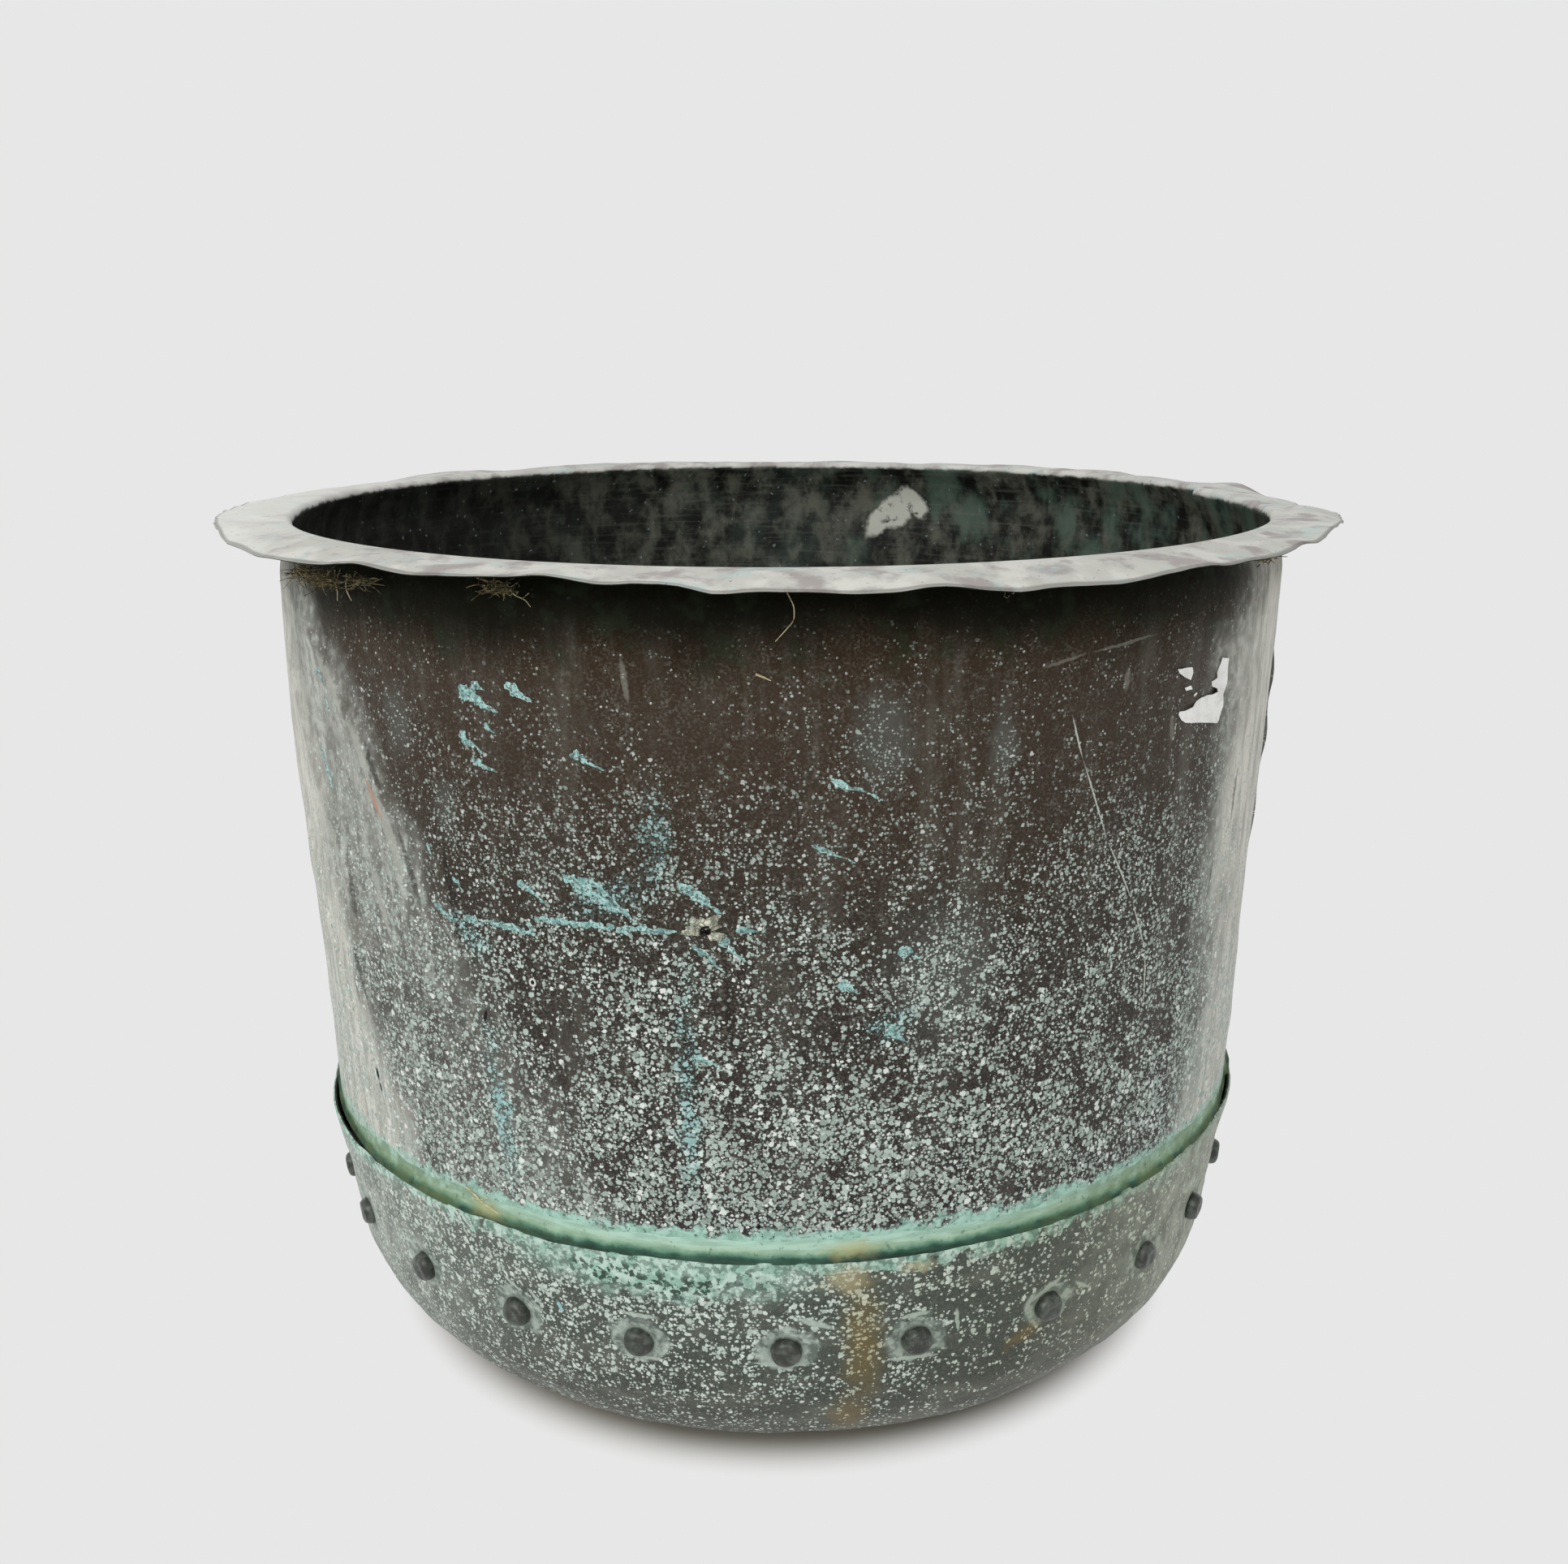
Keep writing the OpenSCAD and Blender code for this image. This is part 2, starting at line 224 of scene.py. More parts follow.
# The flange's edge against the crest: angle and height
edgeRise = [[-180, -3.5], [-168, -1.5], [-152, 0], [-135, -1.5], [-128, 1], [-116, -3.2],
            [-104, -3], [-88, -0.5], [-78, 0.5], [-72, 1.4], [-66, 1.3], [-62, -2.3], [-53, -4.3],
            [-46, -4.2], [-37, -0.8], [-30, -2], [-24, 0.1], [-19, 1.4], [-14, -2.5], [-7.6, 0],
            [-5, -4.8], [2, -3.6], [6, -4.7], [12.5, -3.3], [15.5, -5], [18.5, -7.2], [22, -6.2],
            [29, -4.7], [37, -1.9], [40, -3.8], [47, -2.5], [53, -0.4], [56, -2.6], [61, 0.4],
            [67, 1.4], [74, -0.6], [84, -3], [98, -5.2], [104, -3.4], [110, 1.0], [116, -2.4],
            [120, -4.2], [131, -1.5], [148, -2.4], [166, -3.6], [180, -3.5]]

# Dents in the wall: angle, height, half width, half height, how far, lean of its top
dents = [
    [-26, 240, 34, 7, -1.6, 0], [-24, 252, 30, 8, 0.8, 0], [-52, 205, 12, 26, -1.2, 0],
    [-8, 306, 26, 15, -1.0, 0], [-14, 395, 40, 30, -0.9, 0], [12, 360, 36, 46, 0.8, 0],
    [24, 260, 45, 40, -0.9, 0], [42, 330, 10, 120, 0.7, 1],
    [110, 300, 50, 50, -1.6, 0], [150, 260, 45, 70, 1.2, 0], [-110, 290, 60, 60, -1.8, 0],
    [-150, 340, 50, 40, 1.4, 0], [-88, 350, 9, 120, 1.0, 0], [175, 380, 60, 34, -1.2, 0],
]
# Broader changes of shape, also at the lap: angle, height, half width, half height, how far
bulges = [[-84, 350, 90, 80, 2.4], [-84, 455, 90, 52, -4.4],
          [88, 470, 60, 36, -4.2], [88, 235, 70, 70, -2.6]]
# Sharp folds: the angle and height of points from the top down, and how far they stand out
creases = [
    [[[-60, 456], [-53.6, 428], [-46.7, 392], [-44.1, 369], [-42.3, 337], [-39.9, 312], [-39, 285],
      [-37, 246]], 2.9],
    [[[-66, 430], [-62, 392], [-59, 362], [-54.9, 336], [-52, 317], [-51.2, 296], [-51.9, 263],
      [-52.5, 225]], 3.0],
    [[[-36.5, 372], [-34.4, 341], [-34.1, 299], [-33.5, 278], [-30, 252]], 2.0],
    [[[-68, 330], [-62, 290], [-58, 250], [-57, 215]], 2.2],
    [[[50, 446], [53, 400], [55.5, 352], [54, 300], [54.5, 236]], -1.1],
    [[[62, 420], [61, 372], [58.5, 330], [60, 276], [59, 220]], 1.5],
]


# The drum's outside radius: its taper, and below that the steeper foot
def wallRadius(height):
    taper = math.tan(math.radians(drum["taper"]))
    tapered = drum["radius"] - (drum["neckFoot"] - height) * taper
    turned = drum["radius"] - (drum["neckFoot"] - drum["turn"]) * taper
    foot = turned - (drum["turn"] - height) * math.tan(math.radians(drum["footSlope"]))
    return np.where(np.asarray(height) > drum["turn"], tapered, foot)


# How far the wall stands out of round: dents, creases and the unevenness of rolled sheet
def unevenness(angle, height):
    angle = signed(angle)
    out = 0 * angle
    for at, up, halfWidth, halfHeight, depth, lean in dents:
        across = signed(angle - at - lean * (height - up) / 100) * math.radians(1) * wallArc
        out = out + depth * bell(across, 0, halfWidth) * bell(height, up, halfHeight)
    for path, far in creases:
        at, up = np.array(path[::-1], float).T
        across = (angle - np.interp(height, up, at)) * math.radians(1) * wallArc
        fold = np.where(across < 0, np.exp(np.minimum(across, 0) / 13), np.exp(-np.maximum(across, 0) / 4))
        out = out + far * fold * ease(up[0], up[0] + 20, height) * (1 - ease(up[-1] - 16, up[-1], height))
    spot = place(angle, wallArc, height)
    out = out + 0.45 * waves(spot, 150, 1) + 0.16 * waves(spot, 38, 2) + 0.05 * waves(spot, 14, 3)
    settled = ease(150, 185, height) * (1 - ease(drum["neckFoot"] - 8, drum["neckFoot"] + 14, height))
    lapped = 1 - bell(signed(angle - lap["middle"]), 0, 7)
    out = out * settled * (0.25 + 0.75 * lapped)
    for at, up, halfWidth, halfHeight, far in bulges:
        across = signed(angle - at) * math.radians(1) * wallArc
        out = out + far * bell(across, 0, halfWidth) * bell(height, up, halfHeight) * ease(150, 185, height)
    return out


# A point on the wall's outside, lifted off it by some millimetres
def onWall(angle, height, lift=0.0):
    radius = wallRadius(height) + unevenness(angle, height) + lift
    return place(angle, radius, height)


# The rise of the flange's edge, with its corners softened
def edgeAt(angle):
    at, rise = np.array(edgeRise, float).T
    smooth = 0
    for shift, share in ((-1.2, 0.25), (0, 0.5), (1.2, 0.25)):
        smooth = smooth + share * np.interp(signed(angle + shift), at, rise)
    return smooth


# The numbers of a grid's points, and of their neighbours one step further round
def gridRound(points):
    corner = np.arange(points.shape[0] * points.shape[1]).reshape(points.shape[:2])
    return corner, np.roll(corner, -1, 0)


# A round grid whose first and last rings are each one point: drops the copies of both
def closePoles(points, quads):
    last = points.shape[1] - 1
    faces = []
    for quad in quads.reshape(-1, 4).tolist():
        rows = [v % (last + 1) for v in quad]
        face = [row if row in (0, last) else v for v, row in zip(quad, rows)]
        faces.append(list(dict.fromkeys(face)))
    used = sorted({v for face in faces for v in face})
    number = {v: i for i, v in enumerate(used)}
    return points.reshape(-1, 3)[used], [[number[v] for v in face] for face in faces]


# Closed sheet metal from the points of its middle surface: points[i, j] goes round and up.
# A bowl is closed at its foot by a point on each side.
def sheetMesh(name, middle, thickness, materials, closed=True, bowl=False, bulge=0.3):
    across = np.roll(middle, -1, 0) - np.roll(middle, 1, 0) if closed else np.gradient(middle, axis=0)
    rise = np.gradient(middle, axis=1)
    normal = unit(np.cross(across, rise))
    half = np.broadcast_to(np.asarray(thickness, float) / 2, middle.shape[:2])[..., None]
    top = middle[:, -1:] + unit(rise[:, -1:]) * half[:, -1:] * 2 * bulge
    foot = middle[:, :1] - unit(rise[:, :1]) * half[:, :1] * 2 * bulge
    loop = np.concatenate([middle + normal * half, top, (middle - normal * half)[:, ::-1], foot], 1)
    columns, around = loop.shape[:2]
    n = middle.shape[1]
    corner, turned = gridRound(loop)
    here, there = (corner, turned) if closed else (corner[:-1], corner[1:])
    quads = np.stack([here, there, np.roll(there, -1, 1), np.roll(here, -1, 1)], -1)
    bands = np.arange(around)
    if bowl:
        quads, bands = quads[:, :2 * n], bands[:2 * n]
    slots = np.broadcast_to((bands >= n) & (bands <= 2 * n), quads.shape[:2]).astype(int)
    faces, slots = quads.reshape(-1, 4).tolist(), slots.reshape(-1).tolist()
    points = loop.reshape(-1, 3)
    if bowl:
        points = np.concatenate([points, loop[:, 0].mean(0)[None], loop[:, 2 * n].mean(0)[None]])
        for i in range(columns):
            j = (i + 1) % columns
            faces.append([corner[j, 0], corner[i, 0], len(points) - 2])
            faces.append([corner[i, 2 * n], corner[j, 2 * n], len(points) - 1])
            slots += [0, 1]
        unused = corner[:, -1]
        keep = np.setdiff1d(np.arange(len(points)), unused)
        number = np.zeros(len(points), int)
        number[keep] = np.arange(len(keep))
        points, faces = points[keep], [[int(number[v]) for v in face] for face in faces]
    if not closed:
        for ring, way in ((corner[0], 1), (corner[-1], -1)):
            caps = [[ring[j], ring[j + 1], ring[2 * n - j - 1], ring[2 * n - j]] for j in range(n - 1)]
            caps += [[ring[n - 1], ring[n], ring[n + 1]], [ring[2 * n], ring[2 * n + 1], ring[0]]]
            faces += [[int(v) for v in cap[::way]] for cap in caps]
            slots += [0] * len(caps)
    return meshPiece(name, points, faces, materials, slots)


def meshPiece(name, points, faces, materials, slots=None, sharp=50):
    mesh = bpy.data.meshes.new(name)
    mesh.from_pydata((np.asarray(points) * metre).tolist(), [], faces)
    for material in materials:
        mesh.materials.append(material)
    if slots is not None:
        mesh.polygons.foreach_set("material_index", slots)
    mesh.shade_smooth()
    mesh.set_sharp_from_angle(angle=math.radians(sharp))
    piece = bpy.data.objects.new(name, mesh)
    bpy.context.scene.collection.objects.link(piece)
    return piece


# Fixes a piece to the one body, and hides the nodes it replaces; its slot name is not used
def settle(piece, slotName, *nodes):
    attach(piece, "root")
    if nodes:
        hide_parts(*nodes)
    return piece


lap = {
    "middle": 87,
    "layer": 1.9,               # the outer layer stands off the inner one by this
    "joggle": [93.6, 96.8],     # where it steps down to the drum
    # where its edge has sprung off the drum: height, half height, how far
    "sprung": [[388, 15, 2.3], [352, 15, 2.7], [304, 24, 2.0], [236, 30, 0.7], [176, 18, 1.2]],
    "skew": 9.7,                # degrees by which the inner end reaches further at the top
    "spring": 14,               # and how far it has sprung inwards there
    "cutBack": 9,               # its flange is narrower
}


# The middle of the drum's sheet: radius, height, and 0 to 1 along the flange
def sheetProfile():
    half = drum["sheet"] / 2
    rows = []
    for height in np.linspace(drum["foot"], drum["turn"], 6, endpoint=False):
        rows.append([wallRadius(height) - half, height, 0])
    for height in np.linspace(drum["turn"] + 0.1, drum["neckFoot"], 54, endpoint=False):
        rows.append([wallRadius(height) - half, height, 0])
    inward = drum["radius"] - half - drum["neckDraw"]
    for t in np.linspace(0, 1, 8, endpoint=False):
        rows.append([inward + drum["neckDraw"] * (1 - t * t), drum["neckFoot"] + drum["neckHeight"] * t, 0])
    lean = math.atan(2 * drum["neckDraw"] / drum["neckHeight"])
    bend = drum["crestBend"]
    top = drum["neckFoot"] + drum["neckHeight"]
    centre = [inward + bend * math.cos(lean), top + bend * math.sin(lean)]
    for b in np.linspace(math.pi + lean, math.pi / 2, 7, endpoint=False):
        rows.append([centre[0] + bend * math.cos(b), centre[1] + bend * math.sin(b), 0])
    for s in np.linspace(0, 1, 15):
        rows.append([centre[0], centre[1] + bend, s])
    return np.array(rows)


# Columns stand closest where the flange's torn ends are seen, and furthest apart at the back
def columnsRound(whole):
    own = [0.0]
    while own[-1] < whole:
        aside = abs(signed(drum["lapAt"] + own[-1]))
        own.append(own[-1] + next(step for limit, step in drum["columnSteps"] if aside < limit))
    own[-1] = whole
    return np.array(own)


def buildSheet(materials):
    profile = sheetProfile()
    radius, height, along = profile.T
    own = columnsRound(360 + drum["lapSpan"])[:, None]
    angle = drum["lapAt"] + own
    end = np.clip((own - 360) / drum["lapSpan"], 0, 1)      # 0 to 1 along the inner end
    upper = ease(400, 478, height)
    angle = angle + lap["skew"] * end * upper
    outer = 1 - ease(*lap["joggle"], drum["lapAt"] + own)   # 1 on the outer layer
    outer = outer * (own < 90)

    rim = edgeAt(angle)
    spot = place(angle, 300 + 0 * angle, 0)
    torn = bell(np.abs(signed(angle)), 74, 9)
    tooth = np.abs((signed(angle) * 0.43 + 0.6 * waves(spot, 60, 8)) % 1 - 0.5) * 2
    ragged = 0.3 * waves(spot, 46, 4) + 0.1 * waves(spot, 9, 5) - 2.1 * torn * tooth
    width = drum["flange"] + np.minimum(ragged, 0.5) - lap["cutBack"] * ease(0, 0.12, end)
    r = radius + along * width
    grain = place(angle * 6, r, 0)
    beaten = 0.6 * waves(place(angle, r, 0), 52, 6) + 0.2 * waves(place(angle, r, 0), 21, 9)
    beaten = beaten + 0.03 * waves(grain, 60, 7)
    z = height + along ** 2 * rim + ease(0, 0.4, along) * beaten
    z = z - 0.7 * bell(along, 1, 0.25) * (along > 0)        # the edge turns down a little

    wall = unevenness(angle, height + 0 * angle)
    r = r + wall * (along == 0)
    slope = np.gradient(profile[:, :2] + np.outer(along, [drum["flange"], 0]), axis=0)
    outward = unit(np.stack([slope[:, 1], -slope[:, 0]], -1))
    sprung = 0.35
    for at, reach, far in lap["sprung"]:
        sprung = sprung + far * bell(height, at, reach)
    sprung = sprung * (1 - ease(0, 6.5, own)) * ease(146, 160, height) * (1 - ease(440, 470, height))
    off = outer * lap["layer"] + sprung * outer + outer * 0.9 * ease(0.3, 0.8, along)
    r = r + outward[:, 0] * off
    z = z + outward[:, 1] * off
    # the inner end has sprung inwards at the top, and lies on the flange
    r = r - lap["spring"] * end ** 1.3 * upper
    over = bell(signed(angle), 100, 5) * ease(470, 482, height)
    z = z + 0.9 * ease(0.4, 0.8, end) * ease(470, 482, height) - 1.2 * over * (end == 0)
    middle = place(angle, r, z)
    thickness = drum["sheet"] * (1 - 0.3 * ease(0.3, 1, along))
    return sheetMesh("sideSheetCopper", middle, thickness, materials, closed=False)


pan = {
    "sheet": 2.0,
    "lip": 143,
    "slope": 7.8,          # degrees from upright
    "lipInside": 277.26,
    "lean": 0.56,          # the lip and the rivets rise towards the right, in degrees
    "leanRadius": 279,     # where the lean is measured
    "leanFoot": 60,        # it fades out down to here
    "skirtFoot": 70,
    "knuckle": 75,
    "crown": 208,
    "rivetRow": 91.5,
    "rivetRadius": 273,
    "columns": 420,
    # where the lip stands off the drum: angle, half width in degrees, how far
    "sprung": [[-67, 13, 2.7], [-92, 10, 1.4], [72, 9, 2.2], [140, 16, 1.6], [-160, 20, 1.2]],
}
rivetNodes = sorted(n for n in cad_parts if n.startswith("pan_rivet"))
lapRivetNodes = sorted(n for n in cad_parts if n.startswith("lap_rivet"))


def nodeAngle(node):
    low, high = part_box(node)
    centre = (low + high) / 2
    return math.degrees(math.atan2(centre.x, -centre.y))


rivetAngles = [nodeAngle(n) for n in rivetNodes]


# How much higher the lip and the rivets stand here than at the front
def leanRise(angle):
    return math.tan(math.radians(pan["lean"])) * pan["leanRadius"] * np.sin(np.radians(angle))


# How far the lip and skirt stand off their true cone
def skirtOff(angle, height):
    angle = signed(angle)
    lapped = drum["sheet"] * ease(77, 80.5, angle) * (1 - ease(95, 99, angle)) * ease(66, 84, height)
    lip = sum(far * bell(angle, at, wide) for at, wide, far in pan["sprung"])
    return lapped + lip * ease(104, pan["lip"], height) ** 1.5


def skirtRadius(angle, height):
    inside = pan["lipInside"] - (pan["lip"] - height) * math.tan(math.radians(pan["slope"]))
    return inside + pan["sheet"] / math.cos(math.radians(pan["slope"])) + skirtOff(angle, height)


# The middle of the pan's sheet: floor, crown, knuckle and skirt, as radius and height
def panProfile():
    half = pan["sheet"] / 2
    slope = math.radians(pan["slope"])
    foot = skirtRadius(0, pan["skirtFoot"]) - half / math.cos(slope)
    outer = skirtRadius(0, pan["skirtFoot"])
    centre = np.array([outer - pan["knuckle"] * math.cos(slope),
                       pan["skirtFoot"] + pan["knuckle"] * math.sin(slope)])
    reach, drop = pan["crown"] - pan["knuckle"], pan["crown"] - centre[1]
    flat = centre[0] - math.sqrt(reach ** 2 - drop ** 2)
    turn = math.atan2(centre[1] - pan["crown"], centre[0] - flat)
    rows = [[r, half] for r in (5, 20, 38, 58, 80, 104, 130)]
    crown, knuckle = pan["crown"] - half, pan["knuckle"] - half
    for b in np.linspace(-math.pi / 2, turn, 6, endpoint=False):
        rows.append([flat + crown * math.cos(b), pan["crown"] + crown * math.sin(b)])
    for b in np.linspace(turn, -slope, 18, endpoint=False):
        rows.append([centre[0] + knuckle * math.cos(b), centre[1] + knuckle * math.sin(b)])
    for height in np.linspace(pan["skirtFoot"], pan["lip"], 16):
        rows.append([foot + (height - pan["skirtFoot"]) * math.tan(slope), height])
    return np.array(rows)


def buildPan(materials):
    radius, height = panProfile().T
    angle = np.linspace(0, 360, pan["columns"], endpoint=False)[:, None]
    high = ease(pan["skirtFoot"], pan["lip"], height)
    spot = place(angle, 270 + 0 * radius, height)
    chipped = 0.35 * waves(spot, 50, 11) + 0.25 * waves(spot, 12, 12)
    risen = np.clip((height - pan["leanFoot"]) / (pan["lip"] - pan["leanFoot"]), 0, 1)
    z = height + (leanRise(angle) + chipped) * risen
    r = radius + skirtOff(angle, height + 0 * angle)
    spot = place(angle, r, z)
    off = 0.5 * waves(spot, 90, 13) + 0.2 * waves(spot, 26, 14) + 0.08 * waves(spot, 11, 15)
    off = off * (1 - 0.5 * high) * ease(150, 200, r)
    for at in rivetAngles:
        across = signed(angle - at) * math.radians(1) * pan["rivetRadius"]
        up = z - pan["rivetRow"] - leanRise(at)
        far = np.hypot(across, up)
        off = off - 0.9 * bell(far, 0, 13) + 0.35 * bell(far, 19, 5)
    folds = np.sin(z * 2 * math.pi / 11 + 1.5 * waves(spot, 120, 16))
    off = off + 0.3 * folds * bell(z, 64, 12) * ease(-0.3, 0.8, waves(spot, 70, 17))
    rise = np.gradient(np.stack([radius, height], -1), axis=0)
    outward = unit(np.stack([rise[:, 1], -rise[:, 0]], -1))
    r, z = r + outward[:, 0] * off, z + outward[:, 1] * off
    z = np.maximum(z, pan["sheet"] / 2 + 0.02)
    return sheetMesh("bottomPanCopper", place(angle, r, z), pan["sheet"], materials, bowl=True)


rivet = {
    "head": 7.75,
    "headHeight": 5.5,
    "shank": 4.0,
    "tail": 6.25,
    "turns": 28,
    "lapShare": 0.7,       # the lap's rivets are this much smaller
}


# A hammered rivet, turned about its own axis, which leans with the sheet it goes through
def buildRivet(name, node, seatRadius, seatHeight, lean, size, grip, materials, seed):
    pick = np.random.default_rng(seed)
    head, tall = rivet["head"] * size, rivet["headHeight"] * size
    flat = pick.uniform(0.0, 1.0)
    profile = [[0.0, 0.97 - 0.05 * flat], [0.34, 0.99 - 0.02 * flat], [0.62, 0.98], [0.8, 0.9],
               [0.92, 0.7], [0.99, 0.4], [1.0, 0.14], [0.985, -0.06]]
    rows = [[head * r, tall * u] for r, u in profile]
    rows += [[rivet["shank"] * size, -0.3], [rivet["shank"] * size, -grip - 0.1]]
    tail = rivet["tail"] * size
    rows += [[tail * 0.97, -grip + 0.06], [tail, -grip - 0.9], [tail * 0.8, -grip - 2.3], [0, -grip - 3.0]]
    out, up = np.array(rows).T
    turn = np.linspace(0, 2 * math.pi, rivet["turns"], endpoint=False)[:, None]
    wobble = 1 + 0.035 * np.sin(turn + pick.uniform(0, 6)) + 0.025 * np.sin(3 * turn + pick.uniform(0, 6))
    across, rise = out * wobble * np.cos(turn), out * wobble * np.sin(turn)
    blows = np.stack([across, rise, up + 0 * turn], -1)
    up = up + 0.1 * size * waves(blows, 7, seed + 900) * (up > 0.2 * tall)
    dishAcross, dishRise = pick.uniform(-1.5, 1.5), pick.uniform(-1, 2)
    dish = bell(np.hypot(across - dishAcross, rise - dishRise), 0, 3.2)
    up = up - 0.7 * size * dish * (up > tall / 2)
    lean = math.radians(lean)
    r = seatRadius + up * math.cos(lean) + rise * math.sin(lean)
    z = seatHeight - up * math.sin(lean) + rise * math.cos(lean)
    angle = math.radians(nodeAngle(node))
    x = r * math.sin(angle) + across * math.cos(angle)
    y = -r * math.cos(angle) + across * math.sin(angle)
    points = np.stack([x, y, z], -1)
    corner, there = gridRound(points)
    quads = np.stack([corner[:, 1:], corner[:, :-1], there[:, :-1], there[:, 1:]], -1)
    points, faces = closePoles(points, quads)
    return meshPiece(name, points, faces, materials, sharp=60)


filler = {
    "radius": 278,         # about where it lies
    "height": 12.5,        # above the lip, where it feathers out on the drum
    "depth": 4,            # down the gap
    "columns": 400,
}


def buildFiller(materials):
    angle = np.linspace(0, 360, filler["columns"], endpoint=False)[:, None]
    lip = pan["lip"] + leanRise(angle)
    spot = place(angle, filler["radius"], pan["lip"])[:, 0]
    lumpy = (0.5 * waves(spot, 60, 21) + 0.35 * waves(spot, 14, 22))[:, None]
    fine = (0.4 * waves(spot, 9, 23))[:, None]
    # it has crumbled where the lip stands off the drum, apart from the lap
    lipHeight = pan["lip"] + 0 * angle
    lost = np.clip((skirtOff(angle, lipHeight) - 0.7) / 1.3, 0, 1)
    lost = lost * (np.abs(signed(angle) - lap["middle"]) > 12)
    tall = filler["height"] * (1 + 0.12 * lumpy) * (1 - 0.4 * lost)
    share = np.array([[-1, 0, 0], [-1, 0.9, 0], [0, 0.9, 0], [0, 1, 0], [0, 0.62, 0.1], [0, 0.36, 0.28],
                      [0, 0.2, 0.52], [0, 0.1, 0.76], [0, 0.03, 1.0], [0, -0.12, 1.0], [0, -0.12, 0.5],
                      [0, -0.12, 0]])
    down, out, up = share.T
    z = lip + up * tall + down * filler["depth"]
    lapStart = ease(drum["lapAt"] - 2, drum["lapAt"], signed(angle))
    lapEnd = ease(*lap["joggle"], signed(angle))
    wall = wallRadius(z) + lap["layer"] * (1 - lapEnd) * lapStart
    outer = skirtRadius(angle, lipHeight) - 0.5
    reach = (outer - wall) * (1 - 0.62 * lost)
    r = wall + out * reach
    gap = down < 0
    r = np.where(gap, wall + out * 0.85, r)
    r = r + (0.14 * fine + 0.2 * lumpy) * np.clip(out, 0, 1) * (up > 0) * np.sin(np.pi * up) ** 0.5
    z = z + 0.5 * (up == 0) * (down == 0) * (out > 0.8)
    points = place(angle, r, z)
    corner, there = gridRound(points)
    quads = np.stack([corner, there, np.roll(there, -1, 1), np.roll(corner, -1, 1)], -1)
    return meshPiece("seamFillerCrust", points.reshape(-1, 3), quads.reshape(-1, 4).tolist(), materials)


putty = {"angle": -6.9, "height": 317.6, "halfWidth": 9.2, "halfHeight": 5.4, "stands": 1.8, "lean": 14}


def buildPutty(materials):
    turn = np.linspace(0, 2 * math.pi, 44, endpoint=False)[:, None]
    ring = np.array([0, 0.12, 0.2, 0.3, 0.42, 0.55, 0.68, 0.8, 0.9, 0.97, 1.0, 0.9, 0.5, 0])
    rise = np.array([-1.6, -1.4, -0.2, 0.85, 1.0, 1, 0.92, 0.76, 0.5, 0.2, -0.2, -0.7, -0.7, -0.7])
    edge = np.stack([8 * np.cos(turn[:, 0]), 8 * np.sin(turn[:, 0]), 0 * turn[:, 0]], -1)
    shape = 1 + (0.22 * waves(edge, 9, 31) + 0.2 * waves(edge, 3.4, 32))[:, None]
    across = putty["halfWidth"] * ring * shape * np.cos(turn)
    high = putty["halfHeight"] * ring * shape * np.sin(turn)
    lean = math.radians(putty["lean"])
    across, high = (across * math.cos(lean) + high * math.sin(lean),
                    high * math.cos(lean) - across * math.sin(lean))
    spot = np.stack([across, high, 0 * across], -1)
    lumps = 1 + 0.35 * waves(spot, 6, 33) + 0.2 * waves(spot, 2.5, 34)
    lift = putty["stands"] * np.where(rise > 0, rise * np.maximum(lumps, 0.2), rise * 0.5)
    angle = putty["angle"] + np.degrees(across / wallArc)
    points = onWall(angle, putty["height"] + high, lift)
    corner, there = gridRound(points)
    quads = np.stack([corner[:, :-1], there[:, :-1], there[:, 1:], corner[:, 1:]], -1)
    points, faces = closePoles(points, quads)
    return meshPiece("puttyCrust", points, faces, materials)


# The scraps' outlines: millimetres round and up from this place on the wall
paper = {"angle": 46, "height": 408, "thickness": 0.22, "curl": 0.9, "spacing": 2.6}
paperScraps = [
    [[17.1, 17.1], [25.8, 15.5], [25, 9.6], [24.3, 2.8], [22, -2.4], [22.5, -8.7], [22.1, -13.5],
     [21.5, -15.5], [19.4, -16.6], [1.7, -13.3], [-14.6, -10.4], [-17.7, -8.7], [-20.4, -5.6],
     [-20.4, -4], [-15.6, -4.4], [-10, -3.2], [-5.6, -1.2], [-0.9, -0.1], [3.6, 0.2], [8.3, 0],
     [11.5, 1.1], [10.8, 2.8], [8.1, 4.1], [8, 6.5], [12.8, 7.7], [13.2, 10.4], [15.9, 13.1],
     [17.2, 14.2]],
    [[-25.2, 17.7], [-19.8, 17.4], [-14.2, 17.2], [-12.1, 13.9], [-13, 10.6], [-18.5, 12.7],
     [-23.7, 15.5]],
    [[-17.8, 7.4], [-12.5, 7.8], [-11.6, 5.9], [-16.2, 5.7]],
    [[-10.5, 2.6], [-8.9, 3.9], [-6.4, 3.1], [-7.5, 2.3], [-9.5, 1.9]],
]


